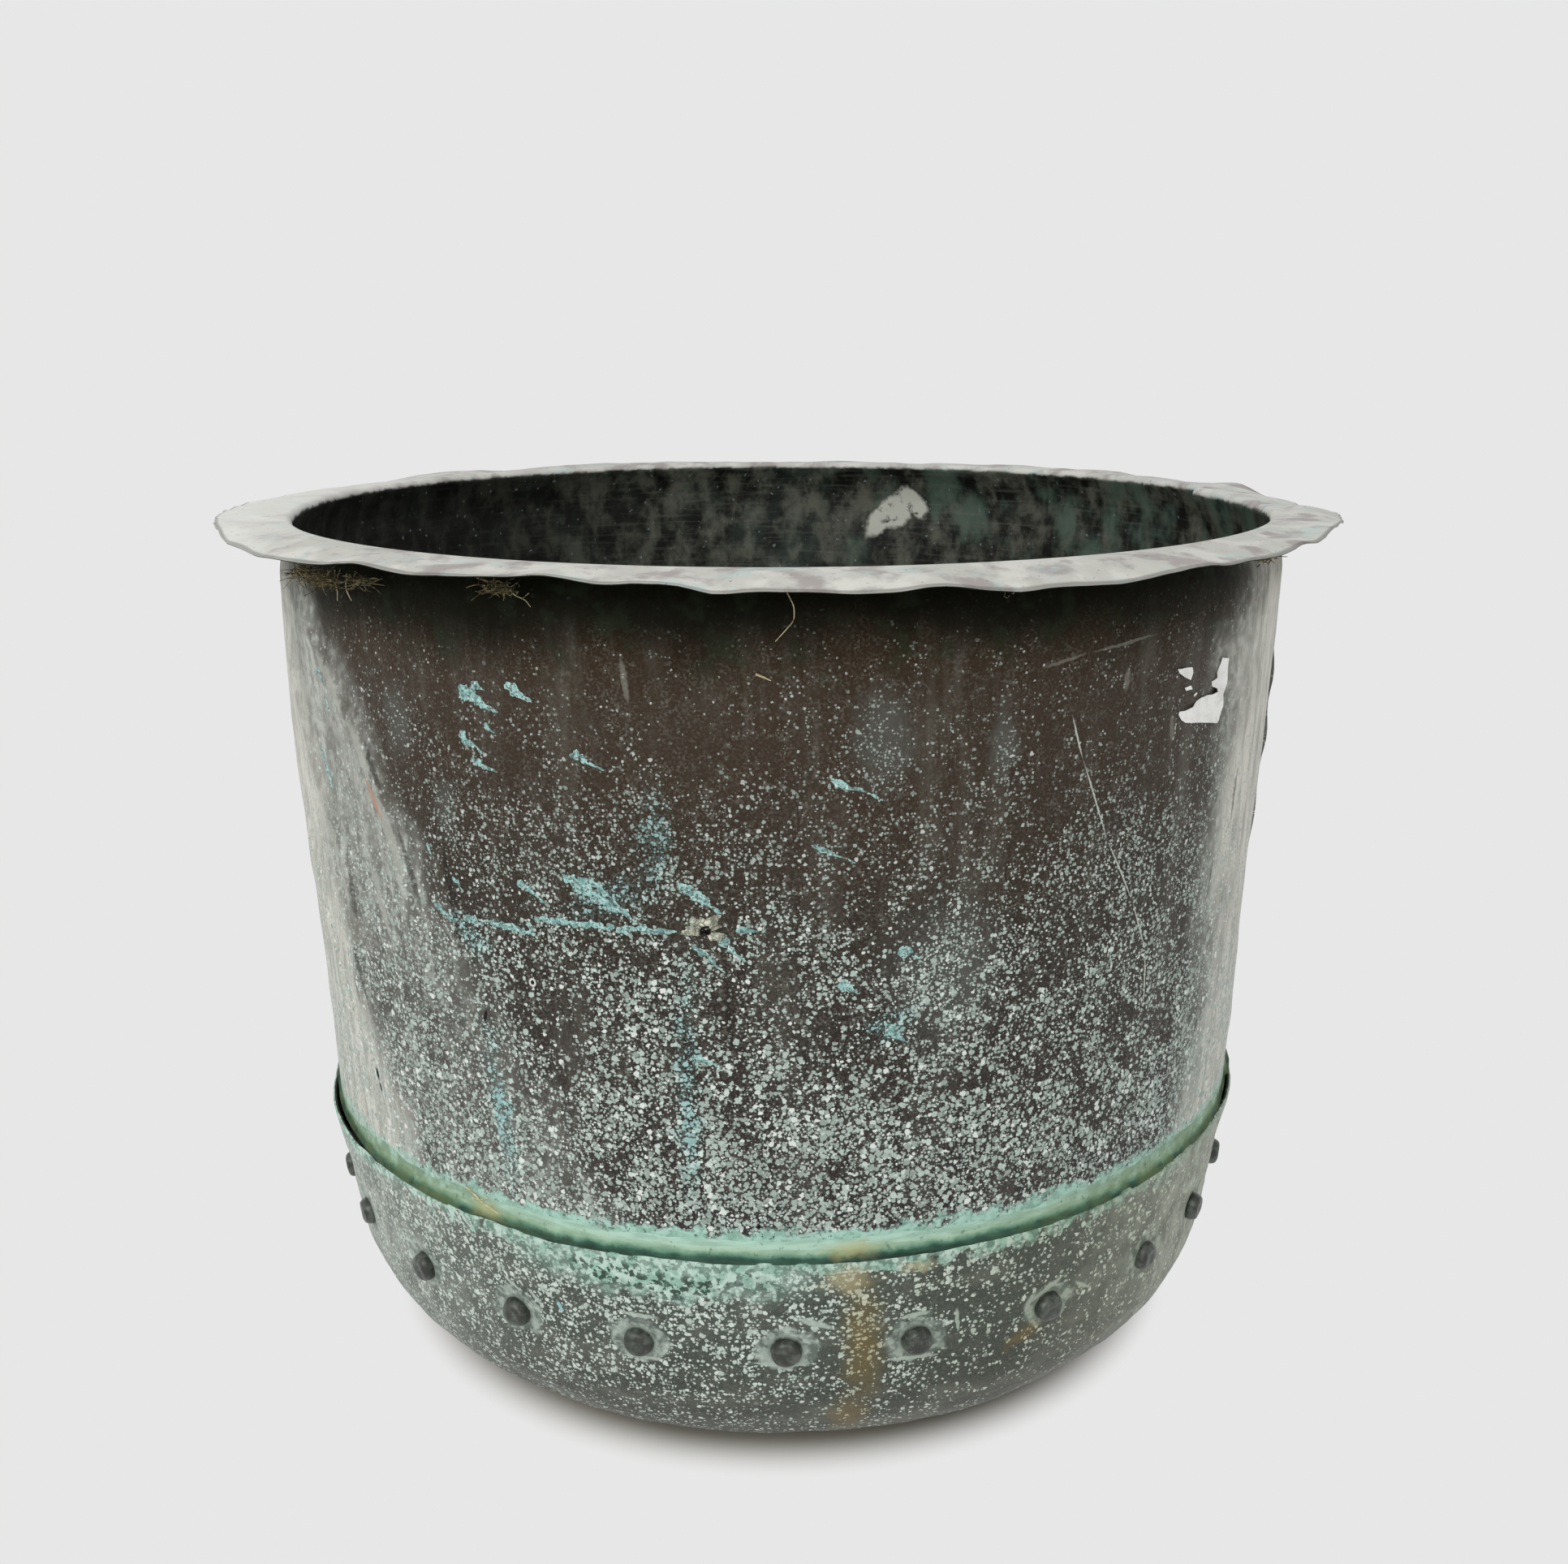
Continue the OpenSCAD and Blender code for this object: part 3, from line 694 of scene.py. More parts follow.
def buildPaper(materials):
    points, faces = [], []
    for outline in paperScraps:
        edge = np.array(outline, float)
        steps = []
        for a, b in zip(edge, np.roll(edge, -1, 0)):
            count = max(1, round(np.linalg.norm(b - a) / paper["spacing"]))
            steps += [a + (b - a) * k / count for k in range(count)]
        low, high = edge.min(0), edge.max(0)
        across, up = np.meshgrid(np.arange(low[0] + 1, high[0], paper["spacing"]),
                                 np.arange(low[1] + 1, high[1], paper["spacing"]))
        inner = np.stack([across.ravel(), up.ravel()], -1)
        found = delaunay_2d_cdt([Vector(p) for p in steps + list(inner)], [],
                                [list(range(len(steps)))], 1, 1e-4)
        flat = np.array([[p.x, p.y] for p in found[0]])
        border = np.array(steps)
        toEdge = np.linalg.norm(flat[:, None] - border[None], axis=-1).min(1)
        spot = np.concatenate([flat, 0 * flat[:, :1]], 1)
        curl = paper["curl"] * bell(toEdge, 0, 1.6) * (0.5 + 0.5 * waves(spot, 12, 42))
        lift = np.maximum(0.35 + 0.22 * waves(spot, 9, 41) + curl, 0.25)
        angle = paper["angle"] + np.degrees(flat[:, 0] / wallArc)
        start, n = len(points), len(flat)
        for side in (paper["thickness"], 0):
            points += onWall(angle, paper["height"] + flat[:, 1], lift + side).tolist()
        edges = {}
        for face in found[2]:
            a, b, c = face
            turned = np.cross(flat[b] - flat[a], flat[c] - flat[a]) < 0
            face = [a, c, b] if turned else [a, b, c]
            faces.append([start + v for v in face])
            faces.append([start + n + v for v in face[::-1]])
            for k in range(3):
                edges[(face[k], face[(k + 1) % 3])] = True
        for a, b in edges:
            if (b, a) not in edges:
                faces.append([start + b, start + a, start + n + a, start + n + b])
    return meshPiece("paperScraps", points, faces, materials, sharp=40)


# A thin tube along points, added to the lists
def strand(points, faces, path, thick, sides=4):
    path = np.asarray(path, float)
    along = unit(np.gradient(path, axis=0))
    aside = unit(np.cross(along, [0.31, 0.17, 0.93]))
    above = np.cross(along, aside)
    girth = thick * (1 - 0.6 * np.linspace(0, 1, len(path)))[:, None]
    start = len(points)
    for k in range(sides):
        turn = 2 * math.pi * k / sides
        points += (path + girth * (aside * math.cos(turn) + above * math.sin(turn))).tolist()
    n = len(path)
    for k in range(sides):
        here, there = start + k * n, start + (k + 1) % sides * n
        faces += [[here + i, there + i, there + i + 1, here + i + 1] for i in range(n - 1)]
    faces.append([start + k * n for k in range(sides)][::-1])
    faces.append([start + k * n + n - 1 for k in range(sides)])


# Tufts of moss and fibre: angle, height, radius, reach round and up in mm, count, length
tufts = [
    [-51.5, 468, 297, 9, 3.2, 76, 10], [-46.5, 467.5, 299, 14, 3.4, 110, 10],
    [-41.5, 469.5, 296, 8, 3, 50, 8], [-24.6, 473.5, 297, 10, 3, 80, 8],
    [20, 473.5, 294, 5, 2, 16, 5], [57, 470, 292, 9, 3, 24, 6],
]
threads = [
    # angle, height and lift of each point, then its thickness
    [[[0.6, 474.5, 2], [1.3, 468, 2.6], [1.3, 462, 2], [0.4, 457, 1.4], [-0.3, 453, 1]], 0.34],
    [[[-47.6, 471, 5], [-46.9, 466, 5.5], [-46.3, 461, 4.5], [-46.5, 457, 3.5]], 0.42],
    [[[-45.3, 470, 5], [-44.6, 464, 6], [-43.4, 459, 5.5]], 0.42],
    [[[-49.5, 469, 5], [-48.4, 465, 6.5], [-46.4, 464, 6]], 0.36],
    [[[-24.4, 474, 6], [-23.6, 470, 6.5], [-22.4, 468, 6], [-21.9, 465, 5]], 0.36],
    [[[-2.0, 438.5, 0.6], [-1.3, 437.2, 1.0], [-0.7, 435.6, 0.6]], 0.6],
    [[[-35.8, 156.8, 0.7], [-34.4, 154.4, 1.3], [-33.4, 151.4, 1.2], [-32.2, 149.9, 1.3],
      [-31.3, 147.8, 0.8]], 0.5],
    [[[-34.9, 151.8, 0.8], [-33.6, 152.8, 1.3], [-32.6, 155.2, 0.9]], 0.4],
]


def buildMoss(materials):
    pick = np.random.default_rng(51)
    steps = 5              # in each fibre
    points, faces = [], []
    for angle, height, radius, wide, tall, count, length in tufts:
        for _ in range(count):
            at = angle + math.degrees(pick.normal(0, wide / 2) / radius)
            up = height + pick.normal(0, tall / 2)
            start = place(at, radius + pick.normal(0, 1.6), up)
            way = pick.normal(size=3) * [1, 1, 0.45]
            way = way / np.linalg.norm(way) * length * pick.uniform(0.4, 1.1) / steps
            bend = pick.normal(size=3) * 0.32
            path = [start]
            for k in range(steps):
                path.append(path[-1] + way + bend * (k - 2) * 0.5)
            strand(points, faces, path, pick.uniform(0.2, 0.42))
    return meshPiece("mossUnderRim", points, faces, materials)


# Verdigris splashed or run on the drum: angle, height, angle, height and half width. It
# narrows to its far end, apart from the runs.
splashes = [
    [-30.9, 424, -26.2, 414, 4.6], [-25.6, 428, -22.5, 421, 3.2], [-31.3, 401, -28.2, 394.6, 3.2],
    [-30.0, 391, -27.0, 385, 2.5], [-19.4, 399.4, -15.9, 391.4, 2.4], [4.4, 390.6, 9.6, 379.4, 1.9],
    [2.8, 359.6, 7.0, 350.4, 1.6], [-26.0, 333.8, -22.6, 324, 2.6], [-20.9, 340, -12.2, 315.9, 4.4],
    [-18.2, 339, -15.2, 327, 2.4], [-9.5, 340, -5.2, 324.8, 3.8], [-8.4, 310, -5.0, 296, 1.9],
    [-5.8, 313.6, -3.1, 301.8, 2.6], [5.3, 291, 7.8, 286, 2.8], [11.1, 307.6, 13.3, 301.4, 3.4],
    [10.0, 266.8, 12.6, 259, 3.4], [-8.6, 253.4, -5.6, 248, 2.8], [-54.6, 418, -52.7, 410, 3.2],
    [-53.4, 402, -52.1, 395, 2.6], [-29.2, 427.5, -27.6, 424.5, 2.2], [-28.2, 407.5, -26.8, 404.5, 1.6],
    [-4.2, 318.6, -1.2, 316.8, 2.2], [-33.6, 330, -32.6, 322, 1.8], [-36.8, 344, -36.2, 336, 1.6],
]
runs = [[-24.8, 315.6, -9.4, 315.4, 2.6], [-33.6, 309.0, -24.4, 308.0, 2.4], [-24.9, 314, -24.2, 306, 2.2],
        [-36.6, 312, -33.2, 306.6, 2.4], [-56.5, 376, -54.2, 352, 2.2]]


def buildSplashes(materials):
    points, faces = [], []
    for i, (angle, up, toAngle, toUp, half) in enumerate(splashes + runs):
        running = i >= len(splashes)
        reach = math.hypot(math.radians(toAngle - angle) * wallArc, toUp - up)
        n = max(9, round(reach / 1.1))
        t = np.linspace(0, 1, n)[:, None]
        across = np.linspace(-1, 1, 7)
        rounded = 1 - (2 * t - 1) ** 8
        wide = np.where(running, 0.7 + 0 * t, 1 - 0.72 * ease(0.15, 0.8, t)) * rounded + 0.02
        spot = np.concatenate([t * reach, 0 * t + 40 * i, 0 * t], 1)
        sway = waves(spot, 9, 61)[:, None]
        sides = np.stack([waves(spot + [0, 7 * side, 0], 3.2, 62) for side in (-1, 1)], -1)
        ragged = np.where(across < 0, sides[:, :1], sides[:, 1:]) * 0.28 + 1
        aside = half * wide * across * ragged + 0.12 * half * sway
        along = np.array([math.radians(toAngle - angle) * wallArc, toUp - up]) / reach
        sideways = t * reach * along[0] - aside * along[1]
        height = up + t * reach * along[1] + aside * along[0]
        lump = 1 + 0.5 * waves(np.stack([sideways, height, 0 * height], -1), 3, 63)
        crust = (1 - np.abs(across) ** 3) * np.maximum(lump, 0.2) * rounded
        start = len(points)
        for lift in (-0.12 + 0.42 * crust, 0 * crust - 0.5):
            points += onWall(angle + np.degrees(sideways / wallArc), height, lift).reshape(-1, 3).tolist()
        count = height.size
        corner = start + np.arange(count).reshape(height.shape)
        a, b, c, d = corner[:-1, :-1], corner[1:, :-1], corner[1:, 1:], corner[:-1, 1:]
        quads = np.stack([a, b, c, d], -1).reshape(-1, 4)
        faces += quads.tolist() + (quads[:, ::-1] + count).tolist()
        rim = np.concatenate([corner[0], corner[1:, -1], corner[-1, -2::-1], corner[-2:0:-1, 0]])
        after = np.roll(rim, -1)
        faces += np.stack([rim, after, after + count, rim + count], -1).tolist()
    return meshPiece("verdigrisSplashes", points, faces, materials)


def buildThreads(materials):
    points, faces = [], []
    for path, thick in threads:
        path = np.array(path, float)
        t = np.linspace(0, len(path) - 1, 4 * len(path))
        smooth = np.stack([np.interp(t, np.arange(len(path)), path[:, k]) for k in range(3)], -1)
        smooth[1:-1] = (smooth[:-2] + smooth[1:-1] + smooth[2:]) / 3
        along = onWall(smooth[:, 0], smooth[:, 1], smooth[:, 2])
        neck = drum["neckDraw"] * ease(454, 479, smooth[:, 1])    # the wall draws in above here
        along = along - place(smooth[:, 0], neck, 0 * neck)
        strand(points, faces, along, thick, 6)
    return meshPiece("rootThreads", points, faces, materials)


# A colour ramp over a span of values: stops are (value, colour)
def ramp(add, value, *stops):
    low, high = stops[0][0], stops[-1][0]
    share = add("MapRange", value, float(low), float(high), 0.0, 1.0)
    node = add("ValToRGB", share)
    elements = node.color_ramp.elements
    while len(elements) < len(stops):
        elements.new(0.5)
    for element, (at, colour) in zip(elements, stops):
        element.position = (at - low) / (high - low)
        element.color = linear(colour)
    return node.outputs["Color"]


# 0 to 1 where noise rises from low to high
def patches(add, vector, size, low, high, detail=3.0, stretch=None, rough=0.55):
    if stretch:
        vector = add("VectorMath", vector, stretch, operation="MULTIPLY")
    noise = add("TexNoise", vector, scale=1.0 / size, detail=detail, roughness=rough)
    return add("MapRange", noise.outputs[0], low, high, 0.0, 1.0, interpolation_type="SMOOTHSTEP")


# Noise that sways either side of 0
def sway(add, vector, size, detail, rough):
    noise = add("TexNoise", vector, scale=1.0 / size, detail=detail, roughness=rough)
    return add("Math", noise.outputs[0], 0.5, operation="SUBTRACT")


# Eases from start to end as a value goes from low to high
def span(add, value, low, high, start=0.0, end=1.0):
    return add("MapRange", value, float(low), float(high), float(start), float(end),
               interpolation_type="SMOOTHSTEP")


# 1 inside a mark, fading out over its soft border
def within(add, distance, soft=0.35):
    return span(add, distance, 1 - soft, 1, 1, 0)


# Millimetres above the lip, which leans
def aboveLip(add, at):
    rise = add("Math", at["x"], -math.tan(math.radians(pan["lean"])), -float(pan["lip"]),
               operation="MULTIPLY_ADD")
    return add("Math", at["height"], rise, operation="ADD")


# Marks on the drum. Zones are angle, height, half width, half height and lean.
drumZones = {
    "powder": [[9.3, 408, 20, 34, 0], [20.6, 401, 10, 26, 0], [-39.4, 404, 14, 28, 0],
               [-34, 362, 10, 22, 0], [16, 290, 40, 50, 0]],
    "turquoise": [[-11.5, 358, 13, 36, 0], [-9, 236, 8, 76, 0], [-30, 212, 9, 62, 6],
                  [-16, 330, 34, 13, 22], [10, 268, 20, 9, 20], [-32, 300, 20, 10, -50]],
    "bare": [[-7.9, 405, 20, 26, 0], [-24.6, 386, 26, 20, 0], [-20.8, 252, 12, 38, -16],
             [38.8, 377, 13, 26, 0], [-5.2, 280, 4.5, 24, 0], [25.7, 363, 14, 18, 0],
             [-1, 372, 26, 14, 0], [30, 410, 24, 20, 0], [-14, 300, 22, 9, 0]],
}
# Strokes in the order in which they are laid: colour, cover and raggedness, and then the angle,
# height, angle, height and half width of each
drumStrokes = {
    # painted highlight with wear: pale along the ridges of the creases
    "fold": ["#a9aba2", 0.72, 5.0, [
        [-54.4, 431, -48.0, 396, 4.4], [-48.0, 400, -44.3, 366, 4.6], [-44.6, 371, -40.4, 318, 3.6],
        [-56.0, 342, -52.4, 314, 3.6], [-53.0, 320, -52.0, 288, 3.4], [-47.5, 330, -43.5, 276, 3.0]]],
    # painted shade: dark mostly along the far sides of the creases
    "dark": ["#1b1510", 0.58, 3.0, [
        [-4.9, 305, -4.7, 256, 2.6], [-41.6, 352, -38.0, 300, 2.3], [-34.6, 352, -33.0, 280, 2.4],
        [-51.2, 318, -50.6, 280, 2.1], [-45.6, 392, -42.6, 358, 2.0], [-51.8, 276, -50.8, 232, 1.9],
        [57, 365, 56, 330, 1.6], [52.4, 322, 51.9, 292, 1.3]]],
    "copper": ["#b48a74", 0.9, 4.0, [[-46.0, 371, -42.9, 347, 2.6]]],
    "scratch": ["#bcc3b8", 0.9, 1.0, [
        [27.7, 413, 29.5, 388, 0.65], [29.2, 392, 33.5, 344, 0.65], [33.1, 348, 37.7, 309, 0.65],
        [37.3, 313, 40.4, 280, 0.65], [40.1, 284, 41, 248, 0.65]]],
    "faint": ["#8f8f84", 0.4, 2.0, [
        [23.8, 435.2, 29.2, 440.5, 1.1], [28.8, 440.1, 38.1, 445, 1.0], [-13.9, 447, -13.3, 421, 1.9],
        [34.1, 432, 34.0, 418, 2.2], [41, 405, 41.4, 388, 2.2]]],
    # holes, painted black as the shade seen through them, not cut
    "hole": ["#050504", 1.0, 0.7, [
        [-30.6, 263.5, -31.2, 253.5, 1.3], [-51.9, 200, -51.3, 191, 2.1],
        [-51.3, 192, -50.7, 185, 1.6], [-2.4, 163.6, -2.0, 163.4, 1.5]]],
}
puncture = [-24.8, 282, 2.3, 2.6, 0]    # a zone: a small round hole with a bright rim, its black centre painted shade
drumColours = {
    "tarnish": [(150, "#2a2525"), (300, "#2b231c"), (390, "#34281c")],    # by height
    # underRim is painted shade below the flange as well as soot
    "underRim": "#12130c",
    # lapEdge is grime by the lap's edge, with painted shade
    "lapEdge": "#2c251d",
    "dust": "#727168",
    # the flanks' pale film of dust, with painted sheen
    "flank": "#898b83",
    "flankPale": "#b6b9b1",
    "strip": "#acaba1",        # painted sheen: the palest part of the flanks
    "stripPale": "#dedbd0",
    "bloom": [(0, "#909e95"), (0.75, "#bdcdc4"), (0.95, "#e2e9e2")],      # by each grain's lot
    "turquoise": "#8fc4c3",
    "wet": "#62827f",          # the ground between turquoise grains
    "powder": "#6e7470",
    "moss": "#2b3626",
    "seam": [(4, "#93b59c"), (10, "#9dc6b3"), (15, "#acd4c5"), (20, "#9abdaf")],    # by height above the lip
    "seamShade": "#5f8673",
    "seamPits": "#2c3f35",
    "puncture": [(0, "#070605"), (0.4, "#1a1814"), (0.55, "#e4e6df"), (0.9, "#a3a79f")],
}


# Copper tarnished dull brown, streaked with dust and freckled with pale verdigris, thicker
# downwards, so that it hardly shines. The finest grains are drawn coarser than they are, to show.
def drumOutside():
    material, add = newMaterial("copperOutsideBrownPatinaPaleBlooms")
    at = whereOn(add)
    point, sheet, arc = at["point"], at["sheet"], at["arc"]
    wander = sway(add, point, 60.0, 3.0, 0.6)
    height = add("Math", wander, 90.0, at["height"], operation="MULTIPLY_ADD")

    base = ramp(add, height, *drumColours["tarnish"])
    # the dust lies in streaks that run downwards
    streaks = patches(add, point, 24.0, 0.45, 0.75, 5.0, (1.0, 1.0, 0.16), 0.7)
    base = over(add, base, drumColours["dust"], streaks, 0.32)
    mottle = patches(add, point, 6.0, 0.42, 0.7, 4.0)
    grit = patches(add, point, 1.3, 0.44, 0.64, 2.0)
    share = add("Math", mottle, 0.35, operation="ADD")
    base = over(add, base, drumColours["dust"], grit, share, span(add, at["height"], 440, 250, 0.34, 0.6))
    # the flanks are painted paler, as a film of dust and as painted sheen where they turn away, up to a
    # crease on the left and up to the lap on the right
    above = add("Math", at["height"], 300.0, operation="SUBTRACT")
    shifted = add("Math", wander, 70.0, arc, operation="MULTIPLY_ADD")
    leftOf = add("Math", above, 0.66, shifted, operation="MULTIPLY_ADD")
    onLeft = times(add, span(add, leftOf, -150, -198), span(add, at["height"], 245, 350, 0.26, 1.0))
    onLeft = times(add, onLeft, span(add, shifted, -680, -400))
    flank = add("Math", onLeft, span(add, shifted, 232, 285), operation="MAXIMUM")
    flank = times(add, flank, span(add, shifted, 680, 420))
    drawn = patches(add, point, 14.0, 0.36, 0.66, 5.0, (1.0, 1.0, 0.3), 0.7)
    film = over(add, drumColours["flank"], drumColours["flankPale"], drawn)
    base = over(add, base, film, flank, add("Math", mottle, 0.68, operation="ADD"))
    # painted sheen: a pale streaked strip down each flank, where it turns from view
    leftOf = add("Math", above, 0.326, shifted, operation="MULTIPLY_ADD")
    onLeft = times(add, span(add, leftOf, -252, -298), span(add, shifted, -560, -350))
    onRight = times(add, span(add, shifted, 256, 302), span(add, shifted, 440, 350))
    strip = add("Math", onLeft, onRight, operation="MAXIMUM")
    drawn = patches(add, point, 8.0, 0.36, 0.62, 5.0, (1.0, 1.0, 0.2), 0.75)
    film = over(add, drumColours["strip"], drumColours["stripPale"], drawn)
    base = over(add, base, film, strip, 0.9)
    # a darker band either side of the lap's edge: grime, and painted shade of the gap under the proud edge
    lapEdge = add("Math", wander, 44.0, arc, operation="MULTIPLY_ADD")
    lapEdge = times(add, span(add, lapEdge, 358, 382), span(add, lapEdge, 446, 400))
    lapEdge = times(add, lapEdge, add("Math", times(add, streaks, 0.4), 0.5, operation="ADD"))
    base = over(add, base, drumColours["lapEdge"], lapEdge)

    # pale blooms, larger and closer towards the seam, tinted along old drips
    bare = within(add, nearestMark(add, sheet, drumZones["bare"], 22.0, 16.0), 0.8)
    powder = within(add, nearestMark(add, sheet, drumZones["powder"], 18.0, 14.0), 0.8)
    wet = within(add, nearestMark(add, sheet, drumZones["turquoise"], 16.0, 12.0), 0.8)
    clump = patches(add, point, 24.0, 0.36, 0.6, 4.0, None, 0.65)
    clumped, low = times(add, clump, 0.72), span(add, at["height"], 260, 190, 0.24, 0.53)
    thick = add("Math", clumped, low, operation="ADD")
    covered = add("Math", times(add, bare, -0.72), 1.0, operation="ADD")
    extra = add("Math", powder, wet, operation="MAXIMUM")
    base = over(add, base, drumColours["wet"], wet, grit, 0.36)
    base = over(add, base, drumColours["powder"], powder, 0.3)
    bloom = None
    more, lower = times(add, extra, 0.55), span(add, height, 480, 300, 0.1, 0.62)
    fine = add("Math", more, lower, operation="ADD")
    more, lower = times(add, wet, 0.34), span(add, height, 430, 290, 0.05, 1.12)
    medium = add("Math", more, lower, operation="ADD")
    coarse = span(add, height, 325, 210, 0.0, 0.88)
    # each layer's spacing, its widest grain's radius in cells, and the share of places filled
    for cell, radius, filled in ((1.4, 0.5, fine), (2.3, 0.5, medium), (3.4, 0.52, coarse)):
        mask, lot = grains(add, point, cell, radius, times(add, filled, thick, covered))
        shade = ramp(add, lot.outputs[1], *drumColours["bloom"])
        shade = over(add, shade, drumColours["turquoise"], wet, 0.66)
        base = over(add, base, shade, mask, span(add, at["height"], 290, 390, 0.92, 0.58))
        bloom = mask if bloom is None else add("Math", bloom, mask, operation="MAXIMUM")
    # painted shade under the flange's overhang, with soot: near-black just below the rim, less so on the
    # flanks
    underRimShadeAndSoot = add("Math", wander, 50.0, at["height"], operation="MULTIPLY_ADD")
    underRimShadeAndSoot = times(add, span(add, underRimShadeAndSoot, 432, 464), span(add, flank, 1.0, 0.0, 0.35, 0.94))
    base = over(add, base, drumColours["underRim"], underRimShadeAndSoot)
    mossy = times(add, patches(add, point, 15.0, 0.5, 0.66), span(add, at["height"], 425, 450), 0.35)
    base = over(add, base, drumColours["moss"], mossy)

    # the pale green and turquoise band above the seam, with dark pits
    rise = aboveLip(add, at)
    ragged = sway(add, point, 8.0, 4.0, 0.62)
    edge = add("Math", ragged, 24.0, rise, operation="MULTIPLY_ADD")
    seam = ramp(add, edge, *drumColours["seam"])
    seam = over(add, seam, drumColours["seamShade"], patches(add, point, 5.0, 0.46, 0.62, 4.0), 0.45)
    inBand = span(add, edge, 19, 15)
    aside = add("Math", arc, operation="ABSOLUTE")
    base = over(add, base, seam, inBand, span(add, aside, 110, 260, 0.94, 0.6))
    pits = patches(add, point, 2.6, 0.6, 0.68, 2.0)
    base = over(add, base, drumColours["seamPits"], pits, inBand, 0.7)

    for colour, cover, raggedness, lines in drumStrokes.values():
        marks = [stroke(*line) for line in lines]
        mask = within(add, nearestMark(add, sheet, marks, raggedness, 2.0), 0.5)
        base = over(add, base, colour, mask, cover)
    # the puncture's black centre is painted shade
    ring = nearestMark(add, sheet, [puncture], 0.5, 2.0)
    hole = ramp(add, ring, *drumColours["puncture"])
    base = over(add, base, hole, within(add, ring, 0.2))

    relief = add("TexNoise", point, scale=1 / 4.0, detail=3.0).outputs[0]
    rough = add("MapRange", bloom, 0.0, 1.0, 0.5, 0.85)
    shine = span(add, at["height"], 415, 455, 0.2, 0.03)
    finish(add, base, rough, relief, 0.4, specularIORLevel=shine)
    return material


insideColours = {
    "dark": "#0c0d08",
    "grey": "#5d5f54",
    "teal": "#54685c",
    "lime": "#c9cabd",
    "film": "#c9c9c1",
    "filmPale": "#dededa",
    "filmRosy": "#a39a98",
    "filmTurquoise": "#bdd3cf",
    "filmWhite": "#e2e1da",
    "whitewash": "#f2f2ec",    # on the flange at the far left
    "worn": "#77746d",
    "scoured": "#75786d",
    "shadow": "#080905",
    "specks": "#84959a",
    "pits": "#4a4942",
    # edge is painted shade at the flange's rim
    "edge": "#4d4c45",
}
# Lime splashed on the far wall: strokes of angle, height, angle, height and half width
limeSplash = [[167, 427, 161, 463, 9.5], [161.8, 467, 157.6, 443, 9.0], [165, 438, 160, 454, 12]]


# Copper tarnished nearly black, with a milky film of lime on the flange that dulls its gloss
def drumInside():
    material, add = newMaterial("copperInsideTarnishedLimedRim")
    at = whereOn(add)
    point, height, sheet = at["point"], at["height"], at["sheet"]
    smudge = patches(add, point, 17.0, 0.4, 0.68, 5.0, (1.0, 1.0, 0.7), 0.65)
    wall = over(add, insideColours["dark"], insideColours["grey"], smudge)
    teal = patches(add, point, 30.0, 0.46, 0.64, 4.0, (1.0, 1.0, 0.6))
    right = span(add, at["x"], -60, 200, 0.15, 1.0)
    wall = over(add, wall, insideColours["teal"], teal, right, 0.8)
    scoured = patches(add, point, 2.4, 0.5, 0.72, 3.0, (0.06, 0.06, 1.0))
    wall = over(add, wall, insideColours["scoured"], scoured, 0.22)
    # painted shade: the inside wall darkened towards the left
    shadeOnLeft = span(add, at["x"], -60, -230)
    wall = over(add, wall, insideColours["shadow"], shadeOnLeft, 0.7)
    specks = grains(add, point, 5.0, 0.2, 0.3)[0]
    wall = over(add, wall, insideColours["specks"], specks, 0.6)
    splash = within(add, nearestMark(add, sheet, [stroke(*line) for line in limeSplash], 7.0, 7.0), 0.3)
    blotch = patches(add, point, 6.0, 0.3, 0.46)
    wall = over(add, wall, insideColours["lime"], splash, blotch)

    # the flange carries a pale lime film, smeared outwards
    spoke = add("VectorMath", add("CombineXYZ", at["arc"], 0.0, 0.0),
                add("CombineXYZ", 0.0, times(add, at["radius"], 0.45), 0.0), operation="ADD")
    aside = add("Math", at["x"], operation="ABSOLUTE")
    radial = times(add, patches(add, spoke, 13.0, 0.36, 0.64, 4.0), span(add, aside, 200, 300, 0.1, 1.0))
    film = over(add, insideColours["film"], insideColours["filmPale"], radial)
    film = over(add, film, insideColours["filmWhite"], patches(add, point, 30.0, 0.48, 0.6, 5.0), 0.7)
    rosy = patches(add, point, 24.0, 0.49, 0.64, 5.0)
    film = over(add, film, insideColours["filmRosy"], rosy, 0.82)
    tealish = patches(add, point, 17.0, 0.55, 0.68, 4.0)
    film = over(add, film, insideColours["filmTurquoise"], tealish, 0.6)
    worn = times(add, patches(add, spoke, 8.0, 0.58, 0.7, 4.0), span(add, aside, 200, 300, 0.15, 1.0))
    film = over(add, film, insideColours["worn"], worn, 0.4)
    film = over(add, film, insideColours["whitewash"], span(add, at["x"], -215, -305, 0.0, 0.78))
    pits = patches(add, point, 2.4, 0.68, 0.75, 2.0)
    film = over(add, film, insideColours["pits"], pits, 0.6)
    # painted shade: the flange's outermost millimetres darkened, as the dark outline of its shaded edge
    outmost = span(add, at["radius"], 316.2, 318.2)
    film = over(add, film, insideColours["edge"], outmost, 0.55)

    creep = add("Math", patches(add, point, 9.0, 0.4, 0.62), 0.9, height, operation="MULTIPLY_ADD")
    onRim = times(add, span(add, at["radius"], 287, 289.5), span(add, height, 462, 468))
    onRim = add("Math", onRim, span(add, creep, 480.4, 482.6), operation="MAXIMUM")
    colour = over(add, wall, film, onRim)
    relief = add("TexNoise", point, scale=1 / 7.0, detail=3.0).outputs[0]
    rough = add("MapRange", onRim, 0.0, 1.0, 0.55, 0.6)
    finish(add, colour, rough, relief, 0.4, specularIORLevel=0.25)
    return material


